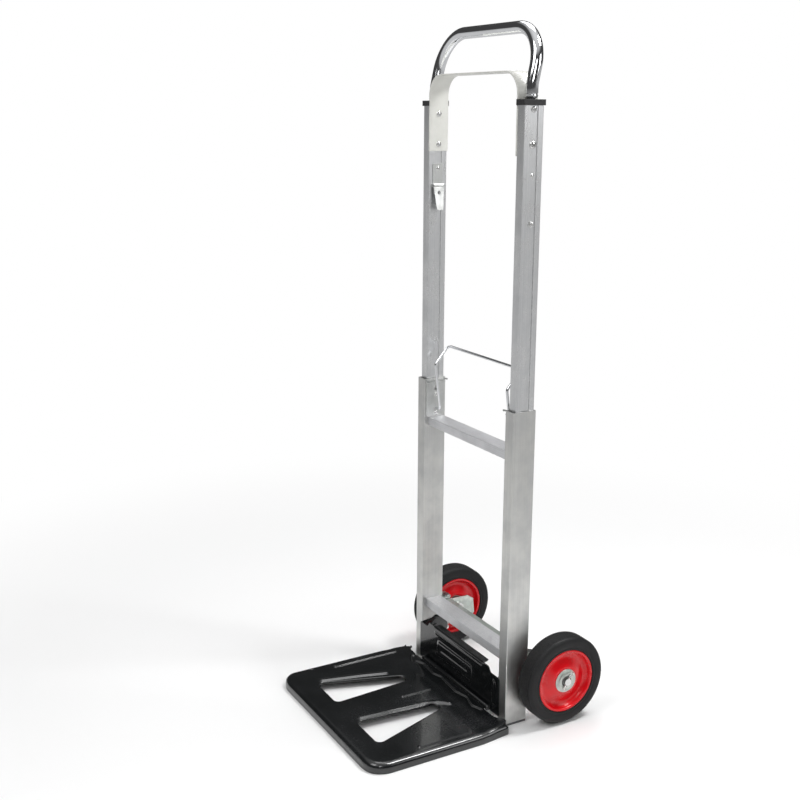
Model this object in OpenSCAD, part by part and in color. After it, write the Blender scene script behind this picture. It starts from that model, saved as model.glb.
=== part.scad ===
// Folding hand truck with a telescopic frame, a swing-up toe plate and swing-in wheels.
// X runs across the frame, Y from the toe plate towards the wheels, Z up from the floor.
// Lengths are measured from the front face of the lower rails until place() moves them to the origin.

/* [Lower frame] */
// Distance between the rail centres
rail_pitch = 268; // [240:1:300]
// Lower rail section across the frame
low_w = 22; // [20:0.5:26]
// Lower rail section front to back
low_d = 42; // [40:0.5:48]
// Lower rail wall
low_wall = 1.5; // [1.2:0.1:2]
// Height of the top of the lower rails
low_top = 533; // [500:1:600]
// Thickness of the foot plug below the rail
foot_t = 4; // [3:0.5:6]

/* [Upper frame] */
// Upper rail section across the frame
up_w = 17; // [15:0.5:17]
// Upper rail section front to back
up_d = 35; // [32:0.5:35]
// Upper rail wall
up_wall = 1.2; // [1:0.1:1.5]
// Width of the groove down both wide faces
groove_w = 15; // [12:0.5:17]
// Depth of that groove
groove_t = 1.2; // [0.8:0.1:1.4]
// Gap between the back of the upper rail and the lower rail's back wall
back_gap = 0.5; // [0.4:0.1:1]
// Length of the upper rails
up_len = 581.5; // [540:0.5:620]
// Length of upper rail left inside the lower rail when extended
overlap = 123; // [110:1:135]
// Gap between the catch hooks' tips and the lower rails when stowed
stow_gap = 10; // [8:0.5:20]

/* [Handle] */
// Handle tube diameter
tube_d = 18.6; // [17:0.2:19]
// Diameter of the drawn-down tube ends inside the rails
neck_d = 10; // [9:0.2:10]
// Handle tube wall
tube_wall = 1.5; // [1:0.1:2]
// Rise of the grip's centre line above the upper rails
grip_rise = 112.5; // [100:0.5:130]
// Backward lean of the handle above the rails in degrees
lean = 12; // [8:1:16]
// Radius of the handle corners at the centre line
corner_r = 60; // [50:1:70]
// Height above the upper rails at which the handle starts to lean
lean_start = 22.5; // [18:0.5:28]

/* [Strap and caps] */
// Width of the strap bracket, front to back
strap_w = 36; // [30:1:36]
// Thickness of the strap bracket
strap_t = 2.5; // [2:0.5:3]
// Rise of the strap bracket above the upper rails
strap_rise = 49.5; // [40:0.5:60]
// Length of its legs below the top of the upper rails
strap_leg = 72.5; // [68:0.5:80]
// Inner corner radius of the strap
strap_r = 32; // [25:1:36]
// Height of the rail cap above the rail
cap_t = 8.5; // [7:0.5:9]

/* [Crossbars] */
// Distance from the top of the lower rails down to the middle crossbar
mid_drop = 68; // [66:1:80]
// Height of the middle crossbar section
mid_h = 15; // [12:0.5:18]
// Height of the top of the lower crossbar
bar_top = 123; // [120:1:135]
// Height of the lower crossbar section
bar_h = 16.7; // [14:0.1:18]
// Front to back size of both crossbars
bar_d = 30; // [26:1:32]
// Crossbar wall
bar_wall = 1.4; // [1:0.1:2]

/* [Toe plate] */
// Distance that the toe plate stands out past each rail
toe_side = 29; // [20:1:40]
// Reach of the toe plate in front of the rails
toe_reach = 263; // [240:1:300]
// Height of the load surface
toe_z = 17; // [15:0.5:19]
// Thickness of the sheet
toe_t = 1.8; // [1.5:0.1:2.5]
// Front corner radius
toe_r = 30; // [20:1:45]
// Distance of the hinge line in front of the rails
hinge_y = 6.5; // [6:0.5:8]
// Height of the hinge line
hinge_z = 17; // [16:0.5:17]
// Hinge pin diameter
hinge_d = 5; // [4:0.5:5.5]

/* [Wheels] */
// Wheel diameter
wheel_d = 150; // [130:1:160]
// Wheel width
wheel_w = 35; // [30:1:38]
// Gap between each rail and its wheel
wheel_gap = 7; // [6.5:0.5:12]
// Height of the wheels above the floor while the truck stands on its feet
wheel_lift = 3; // [1:0.5:6]
// Distance of the axle behind the rails' front face
axle_y = 91.5; // [88:0.5:100]
// Axle diameter
axle_d = 12; // [10:0.5:13]
// Diameter of the tyre's bore
tyre_bore = 100; // [90:1:106]

/* [Wheel brackets] */
// Distance of the swing pins inside the rails' middle plane
swing_in = 2; // [1:0.5:4]
// Distance of the swing pins behind the rails' front face
swing_y = 55; // [54:0.5:58]
// Swing pin diameter
swing_d = 8; // [6:0.5:9]
// Front to back size of the beam behind the rails
beam_d = 20; // [18:0.5:22]
// Height of the beam section
beam_h = 30; // [24:1:34]
// Height of the top of the beam
beam_top = 111; // [105:1:116]
// Sheet thickness of the swing brackets
bracket_t = 3; // [2:0.5:3]

/* [Release bail] */
// Wire diameter of the bail
bail_d = 4.6; // [4:0.2:5]
// Distance of the bail's arms inside the lower rails
bail_in = 15; // [15:0.5:20]
// Distance from the top of the lower rails down to the bail's pivot
bail_drop = 53; // [49:0.5:55]
// Distance from the top of the lower rails down to the lock buttons
button_drop = 17; // [15:0.5:22]
// Diameter of the lock buttons
button_d = 7; // [6:0.5:8]

/* [Hidden] */
$fn = 64;
eps = 0.01;
run_gap = 0.06;        // radial running clearance of a pin in its hole
slide_gap = 0.3;       // clearance between sliding faces
rail_x = rail_pitch / 2;
in_face = rail_x - low_w / 2;          // inner face of the lower rails
out_face = rail_x + low_w / 2;
up_in_face = rail_x - up_w / 2;        // inner face of the upper rails
up_out_face = rail_x + up_w / 2;
up_back = low_d - low_wall - back_gap; // back face of the upper rails
up_y = up_back - up_d / 2;             // centre of the upper rails
groove_face = up_in_face + groove_t;   // floor of the groove, inner side
plate_t = 1.5;                         // thickness of the back plate and the latch plates
up_bottom = low_top - overlap;
up_top = up_bottom + up_len;
mid_top = low_top - mid_drop;
bail_z = low_top - bail_drop;
button_z = low_top - button_drop;
bail_x = in_face - bail_in;
toe_w = 2 * (out_face + toe_side);
latch_top = low_top - 1;
latch_bottom = mid_top + 2;
hub_x = out_face + wheel_gap;          // inner face of the wheel
wheel_x = hub_x + wheel_w / 2;
wheel_r = wheel_d / 2;
axle_z = wheel_r + wheel_lift;
swing_x = rail_x - swing_in;
bore_r = tyre_bore / 2;
beam_y = low_d + beam_d / 2;
beam_end = swing_x + 11;
beam_z0 = beam_top - beam_h;
arm_gap = 1;                           // gap between the beam and the bracket's arms
bracket_x = out_face + 2;              // inner face of the bracket's side plate
hub_disc = 1.2;                        // thickness of the hub's end discs
hub_face = wheel_w / 2 - 2.4;          // outer face of the outer disc, from the wheel's middle
axle_out = wheel_x + wheel_w / 2 + 4;  // outer end of the axle
back_top = 88;                         // top of the back plate
ear_x = in_face - 22;                  // inner face of the back plate's hinge ears
ear_t = 2.5;
barrel_r = hinge_d / 2 + 1.7;
handle_x = up_in_face + tube_d / 2 + 0.2; // the handle's legs just clear the strap
grip_z = up_top + grip_rise;
lean_z = up_top + lean_start;
strap_top = up_top + strap_rise;
strap_bottom = up_top - strap_leg;
strap_rivet_z = [up_top - 12.5, strap_bottom + 11.5];
screw_z = [up_top - 5.5, up_top - 56];
hook_rivet_z = strap_bottom - 28;
hook_tip_z = hook_rivet_z - 68;        // lower end of the catch hook's tongue
travel = hook_tip_z - low_top - stow_gap;
stop_z = low_top + travel + 7;
shift_y = (toe_reach - axle_y - wheel_r) / 2;

// ---- helpers ----

// Moves the frame's own coordinates to the origin below the middle of the whole truck.
module place() { translate([0, shift_y, 0]) children(); }

// Draws the right-hand piece, mirrored to the left where side is -1.
module on_side(side) { place() mirror([side < 0 ? 1 : 0, 0, 0]) children(); }

// Cylinder along X between two X values at (y, z).
module bar_x(x0, x1, y, z, d) { translate([x0, y, z]) rotate([0, 90, 0]) cylinder(d = d, h = x1 - x0); }

// Cylinder along Y between two Y values at (x, z).
module bar_y(x, y0, y1, z, d) { translate([x, y1, z]) rotate([90, 0, 0]) cylinder(d = d, h = y1 - y0); }

module bar_z(x, y, z0, z1, d) { translate([x, y, z0]) cylinder(d = d, h = z1 - z0); }

// Rectangle centred on the origin with rounded corners.
module round_rect(w, h, r) {
    square([w - 2 * r, h], center = true);
    square([w, h - 2 * r], center = true);
    for (x = [-1, 1], y = [-1, 1]) translate([x * (w / 2 - r), y * (h / 2 - r)]) circle(r);
}

// Extrudes an outline drawn in (y, z) along X from x0 to x1.
module along_x(x0, x1) { translate([x0, 0, 0]) rotate([90, 0, 90]) linear_extrude(x1 - x0) children(); }

// Extrudes an outline drawn in (x, z) along Y from y0 to y1.
module along_y(y0, y1) { translate([0, y1, 0]) rotate([90, 0, 0]) linear_extrude(y1 - y0) children(); }

// Domed rivet or screw along +X: head outside x0, shank to x1.
module headed_pin(x0, x1, y, z, head_d, head_t, d) {
    bar_x(x0, x1, y, z, d);
    translate([x0, y, z]) rotate([0, -90, 0]) cylinder(d1 = head_d, d2 = head_d * 0.6, h = head_t);
}

function arc(cx, cy, r, a0, a1, n) =
    [for (i = [0:n]) let (a = a0 + (a1 - a0) * i / n) [cx + r * cos(a), cy + r * sin(a)]];

// ---- lower frame ----

module lower_rail(side) {
    color("silver") on_side(side) difference() {
        translate([rail_x, low_d / 2, foot_t]) linear_extrude(low_top - foot_t) difference() {
            round_rect(low_w, low_d, 1);
            square([low_w - 2 * low_wall, low_d - 2 * low_wall], center = true);
        }
        bar_x(in_face - 1, in_face + low_wall + 1, up_y, button_z, button_d + 2);
        bar_x(in_face - 1, in_face + low_wall + 1, up_y, bail_z, bail_d + 2 * run_gap);
        for (z = latch_rivet_z()) bar_x(in_face - 1, in_face + low_wall + 1, up_y, z, 4);
        for (z = crossbar_screw_z()) bar_x(in_face - 1, in_face + low_wall + 1, up_y, z, 4);
        for (z = back_rivet_z()) bar_x(in_face - 1, in_face + low_wall + 1, back_rivet_y, z, 5);
        for (z = beam_rivet_z()) bar_y(rail_x - 4, low_d - low_wall - 1, low_d + 1, z, 5);
    }
}

function latch_rivet_z() = [latch_bottom + 4, button_z - 12];
function crossbar_screw_z() = [mid_top - mid_h / 2, bar_top - bar_h / 2];
function back_rivet_z() = [36, 66];
back_rivet_y = 26;
function beam_rivet_z() = [beam_top - 8, beam_top - beam_h + 8];

module foot_plug(side) {
    color("dimgray") on_side(side) translate([rail_x, low_d / 2, 0]) {
        linear_extrude(foot_t) round_rect(low_w, low_d, 1.5);
        linear_extrude(foot_t + 12) difference() {
            square([low_w - 2 * low_wall - 0.1, low_d - 2 * low_wall - 0.1], center = true);
            square([low_w - 2 * low_wall - 5, low_d - 2 * low_wall - 5], center = true);
        }
    }
}

// Thin liner in the mouth of the lower rail that the upper rail slides through.
module rail_guide(side) {
    h = 12;
    color("dimgray") on_side(side) translate([0, 0, low_top - h]) linear_extrude(h) difference() {
        translate([rail_x, low_d / 2]) square([low_w - 2 * low_wall, low_d - 2 * low_wall], center = true);
        translate([rail_x - up_w / 2 - slide_gap, up_y - up_d / 2 - slide_gap])
            square([up_w + 2 * slide_gap, low_d]);
    }
}

// Hollow crossbar with a screw port through its middle; ribbed adds fine ribs on its top.
module crossbar(top, h, ribbed) {
    grooves = 9;
    step = (bar_d - 6) / grooves;
    z = top - h / 2;
    color("silver") place() along_x(-in_face, in_face) difference() {
        translate([up_y, z]) union() {
            difference() {
                round_rect(bar_d, h, 1);
                square([bar_d - 2 * bar_wall, h - 2 * bar_wall], center = true);
            }
            circle(d = 8);
            square([1.4, h - 2 * eps], center = true);
        }
        translate([up_y, z]) circle(r = 1.9 + run_gap);
        if (ribbed) for (i = [0:grooves])
            translate([up_y - bar_d / 2 + 3 + i * step, top]) circle(d = 1, $fn = 16);
    }
}

module crossbar_screws() {
    tip = 18;
    color("gainsboro") for (side = [-1, 1], z = crossbar_screw_z()) on_side(side) {
        bar_x(in_face - tip, in_face + low_wall + eps, up_y, z, 3.8);
        bar_x(in_face + low_wall, in_face + low_wall + 1.4, up_y, z, 7.5);
    }
}

// Plate on the inner face of the lower rail with a turned-in top lip and one pointed tab.
module latch_plate(side) {
    lip = 4;
    tab = in_face - plate_t - 10;
    front_tab = side > 0;
    tab_y = front_tab ? 3 : low_d - 3;
    color("silver") on_side(side) difference() {
        union() {
            translate([in_face - plate_t, 3, latch_bottom]) cube([plate_t, low_d - 6, latch_top - latch_bottom]);
            translate([in_face - plate_t - lip, 2, latch_top - 1.6]) cube([lip + eps, low_d - 4, 1.6]);
            translate([in_face - plate_t - 2, 2, latch_top - 7]) cube([2 + eps, low_d - 4, 1.6]);
            translate([0, 0, latch_top - 1.6]) linear_extrude(1.6)
                polygon([[in_face - plate_t - lip, tab_y - 3.5], [in_face - plate_t - lip, tab_y + 3.5],
                         [tab, tab_y + 0.8], [tab, tab_y - 0.8]]);
        }
        bar_x(tab, in_face + 1, up_y, button_z, button_d + 2);
        bar_x(tab, in_face + 1, up_y, bail_z, bail_d + 2 * run_gap);
        for (z = latch_rivet_z()) bar_x(in_face - 3, in_face + 1, up_y, z, 4);
    }
}

module latch_rivets() {
    color("gainsboro") for (side = [-1, 1], z = latch_rivet_z()) on_side(side) {
        headed_pin(in_face - plate_t, in_face + low_wall + 1, up_y, z, 7, 1.4, 3.9);
        bar_x(in_face + low_wall, in_face + low_wall + 1.2, up_y, z, 5.5);
    }
}

// Pressed plate across the rails: web, rounded shoulders, turned-back lip and two side lugs.
module back_plate() {
    half = in_face + 5;
    low = 10;
    shoulder = 79;
    raised = ear_x - 5;
    side_face = in_face - plate_t;
    color("#15151a") place() difference() {
        union() {
            along_y(-plate_t, 0) polygon(concat([[-half, low], [half, low]],
                arc(half - 5, shoulder - 5, 5, 0, 90, 6),
                [[raised + 6, shoulder]], arc(raised - 6, back_top - 6, 6, 30, 90, 4),
                arc(-raised + 6, back_top - 6, 6, 90, 150, 4), [[-raised - 6, shoulder]],
                arc(-half + 5, shoulder - 5, 5, 90, 180, 6)));
            translate([-raised + 14, -plate_t, back_top - plate_t]) cube([2 * (raised - 14), 13 + plate_t, plate_t]);
            for (m = [0, 1]) mirror([m, 0, 0]) {
                along_x(side_face, in_face) polygon(concat([[-eps, 22], [-eps, back_top - 8], [20, back_top - 6]],
                    arc(28, 78, 8, 110, 60, 4), arc(40, 61, 14, 60, -60, 8), [[30, 28], [20, 22]]));
                translate([ear_x, 0, 0]) hinge_ear();
            }
        }
        for (z = back_rivet_z(), s = [-1, 1])
            bar_x(s > 0 ? side_face - 1 : -in_face - 1, s > 0 ? in_face + 1 : -side_face + 1, back_rivet_y, z, 5);
        bar_x(-ear_x - 20, ear_x + 20, -hinge_y, hinge_z, hinge_d + 2 * run_gap);
    }
}

module hinge_ear() {
    along_x(0, ear_t) union() {
        translate([-hinge_y, hinge_z]) circle(r = 5);
        translate([-hinge_y, hinge_z - 5]) square([hinge_y, 10]);
    }
}

module back_plate_rivets() {
    color("#1b1b1f") for (side = [-1, 1], z = back_rivet_z()) on_side(side)
        headed_pin(in_face - plate_t, in_face + low_wall + 3, back_rivet_y, z, 8.5, 1.6, 4.9);
}

module toe_hinge_pin() {
    end = ear_x + ear_t;
    color("gainsboro") place() {
        bar_x(-end - 1.5, end + 1.5, -hinge_y, hinge_z, hinge_d);
        for (x = [-end - 2, end]) bar_x(x, x + 2, -hinge_y, hinge_z, 8);
    }
}

// Zinc-plated square beam behind the rails; the swing pins pass down through its ends.
module wheel_beam() {
    color("#b9c2bd") place() difference() {
        along_x(-beam_end, beam_end) translate([beam_y, beam_top - beam_h / 2]) difference() {
            round_rect(beam_d, beam_h, 2);
            round_rect(beam_d - 4, beam_h - 4, 1);
        }
        for (x = [-1, 1]) {
            bar_z(x * swing_x, swing_y, beam_z0 - 1, beam_top + 1, swing_d + 2 * run_gap);
            for (z = beam_rivet_z()) bar_y(x * (rail_x - 4), low_d - 1, low_d + 3, z, 5);
        }
    }
}

module beam_rivets() {
    color("gainsboro") for (side = [-1, 1], z = beam_rivet_z()) on_side(side) {
        x = rail_x - 4;
        bar_y(x, low_d - low_wall - 2, low_d + 4, z, 4.9);
        bar_y(x, low_d - low_wall - 2, low_d - low_wall, z, 8);
        bar_y(x, low_d + 2, low_d + 4, z, 8);
    }
}

spring_h = 21;
pin_bottom = beam_z0 - arm_gap - bracket_t - spring_h - 5;

module swing_pin(side) {
    top = beam_top + arm_gap + bracket_t;
    color("gainsboro") on_side(side) {
        bar_z(swing_x, swing_y, pin_bottom, top + 1, swing_d);
        bar_z(swing_x, swing_y, top + slide_gap, top + 3, swing_d + 5);
        bar_z(swing_x, swing_y, pin_bottom, pin_bottom + 3, swing_d + 5);
    }
}

// ---- upper frame ----

module upper_rail_outline() {
    deep = groove_t;
    difference() {
        round_rect(up_w, up_d, 1.5);
        for (x = [-1, 1]) translate([x * up_w / 2, 0]) square([2 * deep, groove_w], center = true);
        difference() {
            square([up_w - 2 * up_wall, up_d - 2 * up_wall], center = true);
            for (x = [-1, 1]) translate([x * (up_w / 2 - up_wall / 2), 0])
                square([2 * deep + up_wall, groove_w + 2 * up_wall], center = true);
        }
    }
}

module upper_rail(side) {
    color("silver") on_side(side) difference() {
        translate([rail_x, up_y, up_bottom]) linear_extrude(up_top - up_bottom) upper_rail_outline();
        bar_x(up_in_face - 1, rail_x - 3, up_y, button_z, button_d + 2 * 0.1);
        for (z = strap_rivet_z) bar_x(up_in_face - 1, rail_x - 3, up_y, z, 5);
        for (z = screw_z) bar_x(rail_x + 3, up_out_face + 1, up_y, z, 5);
        bar_x(up_in_face - 1, up_out_face + 1, up_y, hook_rivet_z, 4);
        bar_x(rail_x + 3, up_out_face + 1, up_y, stop_z, 6);
    }
}

// Plastic shoe closing the bottom of the upper rail and running inside the lower rail.
module rail_glide(side) {
    flange = 8;
    color("dimgray") on_side(side) translate([rail_x, up_y, up_bottom - flange]) {
        linear_extrude(flange) difference() {
            round_rect(up_w + 0.8, up_d, 1.5);
            for (x = [-1, 1]) translate([x * (up_w / 2 + 0.4), 0])
                square([2 * groove_t + 0.8, groove_w], center = true);
            square([6, 20], center = true);
        }
        linear_extrude(flange + 14) difference() {
            square([up_w - 2 * up_wall - 2 * groove_t - 0.4, up_d - 2 * up_wall - 0.2], center = true);
            square([6, 20], center = true);
        }
    }
}

module rail_cap(side) {
    plug = 9;
    color("#111111") on_side(side) translate([rail_x, up_y, up_top]) difference() {
        union() {
            linear_extrude(cap_t) round_rect(up_w + 4, up_d + 5, 2);
            translate([0, 0, -plug]) linear_extrude(plug + eps)
                square([up_w - 2 * up_wall - 2 * groove_t - 0.1, up_d - 2 * up_wall - 0.1], center = true);
        }
        translate([handle_x - rail_x, 0, -plug - 1]) cylinder(d = neck_d + 0.2, h = cap_t + plug + 2);
        translate([0, 0, screw_z[0] - up_top]) rotate([0, 90, 0]) cylinder(d = 4.5, h = up_w);
        translate([-up_w / 2 - 6, -strap_w / 2 - 0.5, -eps]) cube([6, strap_w + 1, cap_t + 1]);
    }
}

// Handle centre line: up the rail, a short lean-back bend, then a leaning U.
lean_r = 60;
neck_top = up_top + cap_t + 4;
lean_len = (grip_z - lean_z - lean_r * sin(lean)) / cos(lean);

// One hollow length of the handle: straight along Z, or bent about its own Y axis.
module tube_run(len) {
    difference() {
        cylinder(d = tube_d, h = len);
        translate([0, 0, -1]) cylinder(d = tube_d - 2 * tube_wall, h = len + 2);
    }
}

module tube_bend(r, angle) {
    rotate_extrude(angle = angle) translate([r, 0]) difference() {
        circle(d = tube_d);
        circle(d = tube_d - 2 * tube_wall);
    }
}

// The leaning U above the rails, drawn upright from the end of the lean bends.
module grip_loop() {
    straight = lean_len - corner_r;
    for (x = [-1, 1]) translate([x * handle_x, 0, 0]) tube_run(straight);
    translate([handle_x - corner_r, 0, straight]) rotate([90, 0, 0]) tube_bend(corner_r, 90);
    translate([corner_r - handle_x, 0, straight]) rotate([90, 0, 180]) tube_bend(corner_r, 90);
    translate([corner_r - handle_x, 0, lean_len]) rotate([0, 90, 0]) tube_run(2 * (handle_x - corner_r));
}

// Upright end of the handle with the drawn-down neck inside the rail.
module handle_end() {
    neck_bottom = screw_z[1] - 30.5;
    base = up_top + cap_t + slide_gap;
    difference() {
        rotate_extrude() polygon([
            [neck_d / 2 - tube_wall, neck_bottom], [neck_d / 2, neck_bottom], [neck_d / 2, base],
            [tube_d / 2, neck_top], [tube_d / 2, lean_z], [tube_d / 2 - tube_wall, lean_z],
            [tube_d / 2 - tube_wall, neck_top], [neck_d / 2 - tube_wall, base]]);
        for (z = screw_z) bar_x(-neck_d, neck_d, 0, z, 4);
    }
}

module handle() {
    color("#dfe3e8") place() {
        for (x = [-1, 1]) {
            translate([x * handle_x, up_y, 0]) handle_end();
            translate([x * handle_x, up_y + lean_r, lean_z]) rotate([90, 0, -90]) tube_bend(lean_r, lean);
        }
        translate([0, up_y + lean_r, lean_z]) rotate([-lean, 0, 0]) translate([0, -lean_r, 0]) grip_loop();
    }
}

module strap_outline(inset) {
    half = up_in_face - inset;
    top = strap_top - inset;
    r = strap_r + strap_t - inset;
    difference() {
        union() {
            translate([-half, strap_bottom - inset]) square([2 * half, top - r - strap_bottom + inset]);
            translate([-half + r, strap_bottom]) square([2 * (half - r), top - strap_bottom]);
            for (x = [-1, 1]) translate([x * (half - r), top - r]) circle(r);
        }
    }
}

module strap_bracket() {
    color("#e6e4dc") place() difference() {
        along_y(up_y - strap_w / 2, up_y + strap_w / 2) difference() {
            strap_outline(0);
            strap_outline(strap_t);
        }
        for (x = [-1, 1], z = strap_rivet_z) bar_x(x * up_in_face - 4, x * up_in_face + 4, up_y, z, 5);
    }
}

module strap_rivets() {
    color("gainsboro") for (side = [-1, 1], z = strap_rivet_z) on_side(side)
        headed_pin(up_in_face - strap_t, groove_face + up_wall, up_y, z, 9, 2, 4.9);
}

// Screws through the outer wall into the handle's ends, the lower one with the larger head.
module handle_screws() {
    tip = handle_x + neck_d / 2 - tube_wall - 1;
    color("gainsboro") for (side = [-1, 1], i = [0, 1]) on_side(side) {
        bar_x(tip, up_out_face, up_y, screw_z[i], 3.9);
        translate([up_out_face - groove_t, up_y, screw_z[i]]) rotate([0, 90, 0])
            cylinder(d1 = 8 + 3 * i, d2 = 5 + 2 * i, h = 2.6 + i);
    }
}

// Spring-steel catch: flat plate, curled bead and a tapering tongue that leans inwards.
module catch_hook(side) {
    t = 1.2;
    half_w = 9.5;
    bead_z = hook_rivet_z - 28;
    bead_x = up_in_face - 3.1;
    color("gainsboro") on_side(side) difference() {
        intersection() {
            along_y(up_y - half_w, up_y + half_w) union() {
                translate([up_in_face - t, bead_z]) square([t, hook_rivet_z + 8 - bead_z]);
                translate([bead_x, bead_z]) circle(d = 6);
                polygon([[bead_x - 1.6, bead_z - 1], [bead_x - 0.2, bead_z - 1],
                         [bead_x - 5.6, hook_tip_z], [bead_x - 7, hook_tip_z]]);
            }
            along_x(up_in_face - 20, up_in_face + 1)
                polygon([[up_y - half_w, hook_rivet_z + 19], [up_y - half_w, bead_z - 3],
                         [up_y - 6, hook_tip_z], [up_y + 6, hook_tip_z],
                         [up_y + half_w, bead_z - 3], [up_y + half_w, hook_rivet_z + 19]]);
        }
        bar_x(up_in_face - 15, up_in_face - t - 0.5, up_y, bead_z - 12, 6.5);
        bar_x(up_in_face - 15, up_in_face + 1, up_y, hook_rivet_z, 4);
    }
}

module hook_rivets() {
    color("gainsboro") for (side = [-1, 1]) on_side(side) {
        headed_pin(up_in_face - 1.2, up_out_face - groove_t + eps, up_y, hook_rivet_z, 7, 1.4, 3.9);
        bar_x(up_out_face - groove_t, up_out_face, up_y, hook_rivet_z, 6);
    }
}

module stop_pins() {
    color("gainsboro") for (side = [-1, 1]) on_side(side) {
        bar_x(up_out_face - groove_t - up_wall - 1.5, up_out_face + 4, up_y, stop_z, 5.9);
        bar_x(up_out_face - groove_t, up_out_face + 0.6, up_y, stop_z, 9);
    }
}

// ---- latch ----

bail_bend = [12, bail_z + 81];         // (y, z) of the corner between the bail's leg and its bend
bail_top = [38, bail_z + 111];

// One bail arm: pivot stub, leg, bend and the turn into the cross wire, all tangent to each other.
bail_turn = 7;
bend_r = 14;

module bail_arm() {
    foot = [up_y, bail_z];
    a1 = atan2(bail_bend[0] - foot[0], bail_bend[1] - foot[1]);
    a2 = atan2(bail_top[0] - bail_bend[0], bail_top[1] - bail_bend[1]);
    cut = bend_r * tan((a2 - a1) / 2);
    l1 = norm(bail_bend - foot) - cut;
    l2 = norm(bail_top - bail_bend) - cut;
    translate([bail_x, foot[0], foot[1]]) rotate([-a1, 0, 0]) {
        translate([bail_turn, 0, 0]) rotate([0, 90, 0])
            cylinder(d = bail_d, h = bail_in + low_wall - bail_turn);
        translate([bail_turn, 0, bail_turn]) rotate([90, 0, 0]) rotate_extrude(angle = 90, start = 180)
            translate([bail_turn, 0]) circle(d = bail_d);
        translate([0, 0, bail_turn]) cylinder(d = bail_d, h = l1 - bail_turn);
        translate([0, bend_r, l1]) {
            rotate([90, 0, -90]) rotate_extrude(angle = a2 - a1) translate([bend_r, 0]) circle(d = bail_d);
            rotate([a1 - a2, 0, 0]) translate([0, -bend_r, 0]) {
                cylinder(d = bail_d, h = l2 - bail_turn);
                translate([-bail_turn, 0, l2 - bail_turn]) rotate([90, 0, 0])
                    rotate_extrude(angle = 90) translate([bail_turn, 0]) circle(d = bail_d);
                translate([-bail_x, 0, l2]) rotate([0, 90, 0])
                    cylinder(d = bail_d, h = bail_x - bail_turn);
            }
        }
    }
}

module release_bail() {
    color("#dfe3e8") place() for (m = [0, 1]) mirror([m, 0, 0]) bail_arm();
}

// Snap button on its leaf spring inside the upper rail.
module lock_button(side) {
    wall_in = groove_face + up_wall;
    tip = 0.6;
    color("gainsboro") on_side(side) {
        bar_x(groove_face - tip, wall_in + 1.5, up_y, button_z, button_d);
        bar_x(wall_in + slide_gap, wall_in + 1.5, up_y, button_z, button_d + 3);
        translate([wall_in + 1.5 - eps, up_y - 4, button_z - 22]) cube([0.8, 8, 28]);
    }
}

// ---- toe plate ----

// Outline of the sheet, inset from its edge: round front corners and two rear ears.
module toe_outline(inset) {
    w = toe_w / 2 - inset;
    front = -toe_reach + inset;
    r = toe_r - inset;
    polygon(concat(
        arc(w - r, front + r, r, 270, 360, 12),
        [[w - 3, -30 - inset], [w - 6, -8 - inset], [out_face + 4 + inset, -6 - inset], [out_face + 2, -14 - inset],
         [ear_x - 0.6, -14 - inset], [ear_x - 0.6, -hinge_y - inset * 0.2], [-ear_x + 0.6, -hinge_y - inset * 0.2],
         [-ear_x + 0.6, -14 - inset], [-out_face - 2, -14 - inset], [-out_face - 4 - inset, -6 - inset],
         [-w + 6, -8 - inset], [-w + 3, -30 - inset]],
        arc(-w + r, front + r, r, 180, 270, 12)));
}

// One tapering window, wide at the front; grow moves its edge outwards.
module toe_window(grow) {
    front = -toe_reach + 55;
    hull() {
        translate([46, front]) circle(r = 7 + grow, $fn = 32);
        translate([toe_w / 2 - 73, front]) circle(r = 7 + grow, $fn = 32);
        translate([57, -84]) circle(r = 9 + grow, $fn = 32);
    }
}

module toe_plate() {
    rim = toe_z - 0.5;
    window_depth = 8;
    bead_h = 2;
    color("#0f1114") place() difference() {
        union() {
            translate([0, 0, toe_z - toe_t]) linear_extrude(toe_t) toe_outline(0);
            difference() {
                translate([0, 0, toe_z - rim]) linear_extrude(rim - eps) toe_outline(0);
                translate([0, 0, toe_z - rim - 1]) linear_extrude(rim + 2) toe_outline(toe_t);
                translate([-ear_x - 50, -28, -1]) cube([2 * ear_x + 100, 30, rim + 2]);
            }
            for (x = [0, 1]) mirror([x, 0, 0])
                translate([0, 0, toe_z - window_depth]) linear_extrude(window_depth - eps) toe_window(toe_t);
            for (s = [-1, 1]) translate([s * (toe_w / 2 - 21), -120, toe_z - eps]) linear_extrude(bead_h) round_rect(9, 104, 4.4);
            translate([0, -84, toe_z - eps]) linear_extrude(bead_h) round_rect(10, 62, 4.9);
            bar_x(-ear_x + 0.6, ear_x - 0.6, -hinge_y, hinge_z, 2 * barrel_r);
        }
        for (x = [0, 1]) mirror([x, 0, 0])
            translate([0, 0, -1]) linear_extrude(toe_z + 4) toe_window(0);
        bar_x(-ear_x, ear_x, -hinge_y, hinge_z, hinge_d + 2 * run_gap);
    }
}

// ---- wheels ----

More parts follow.
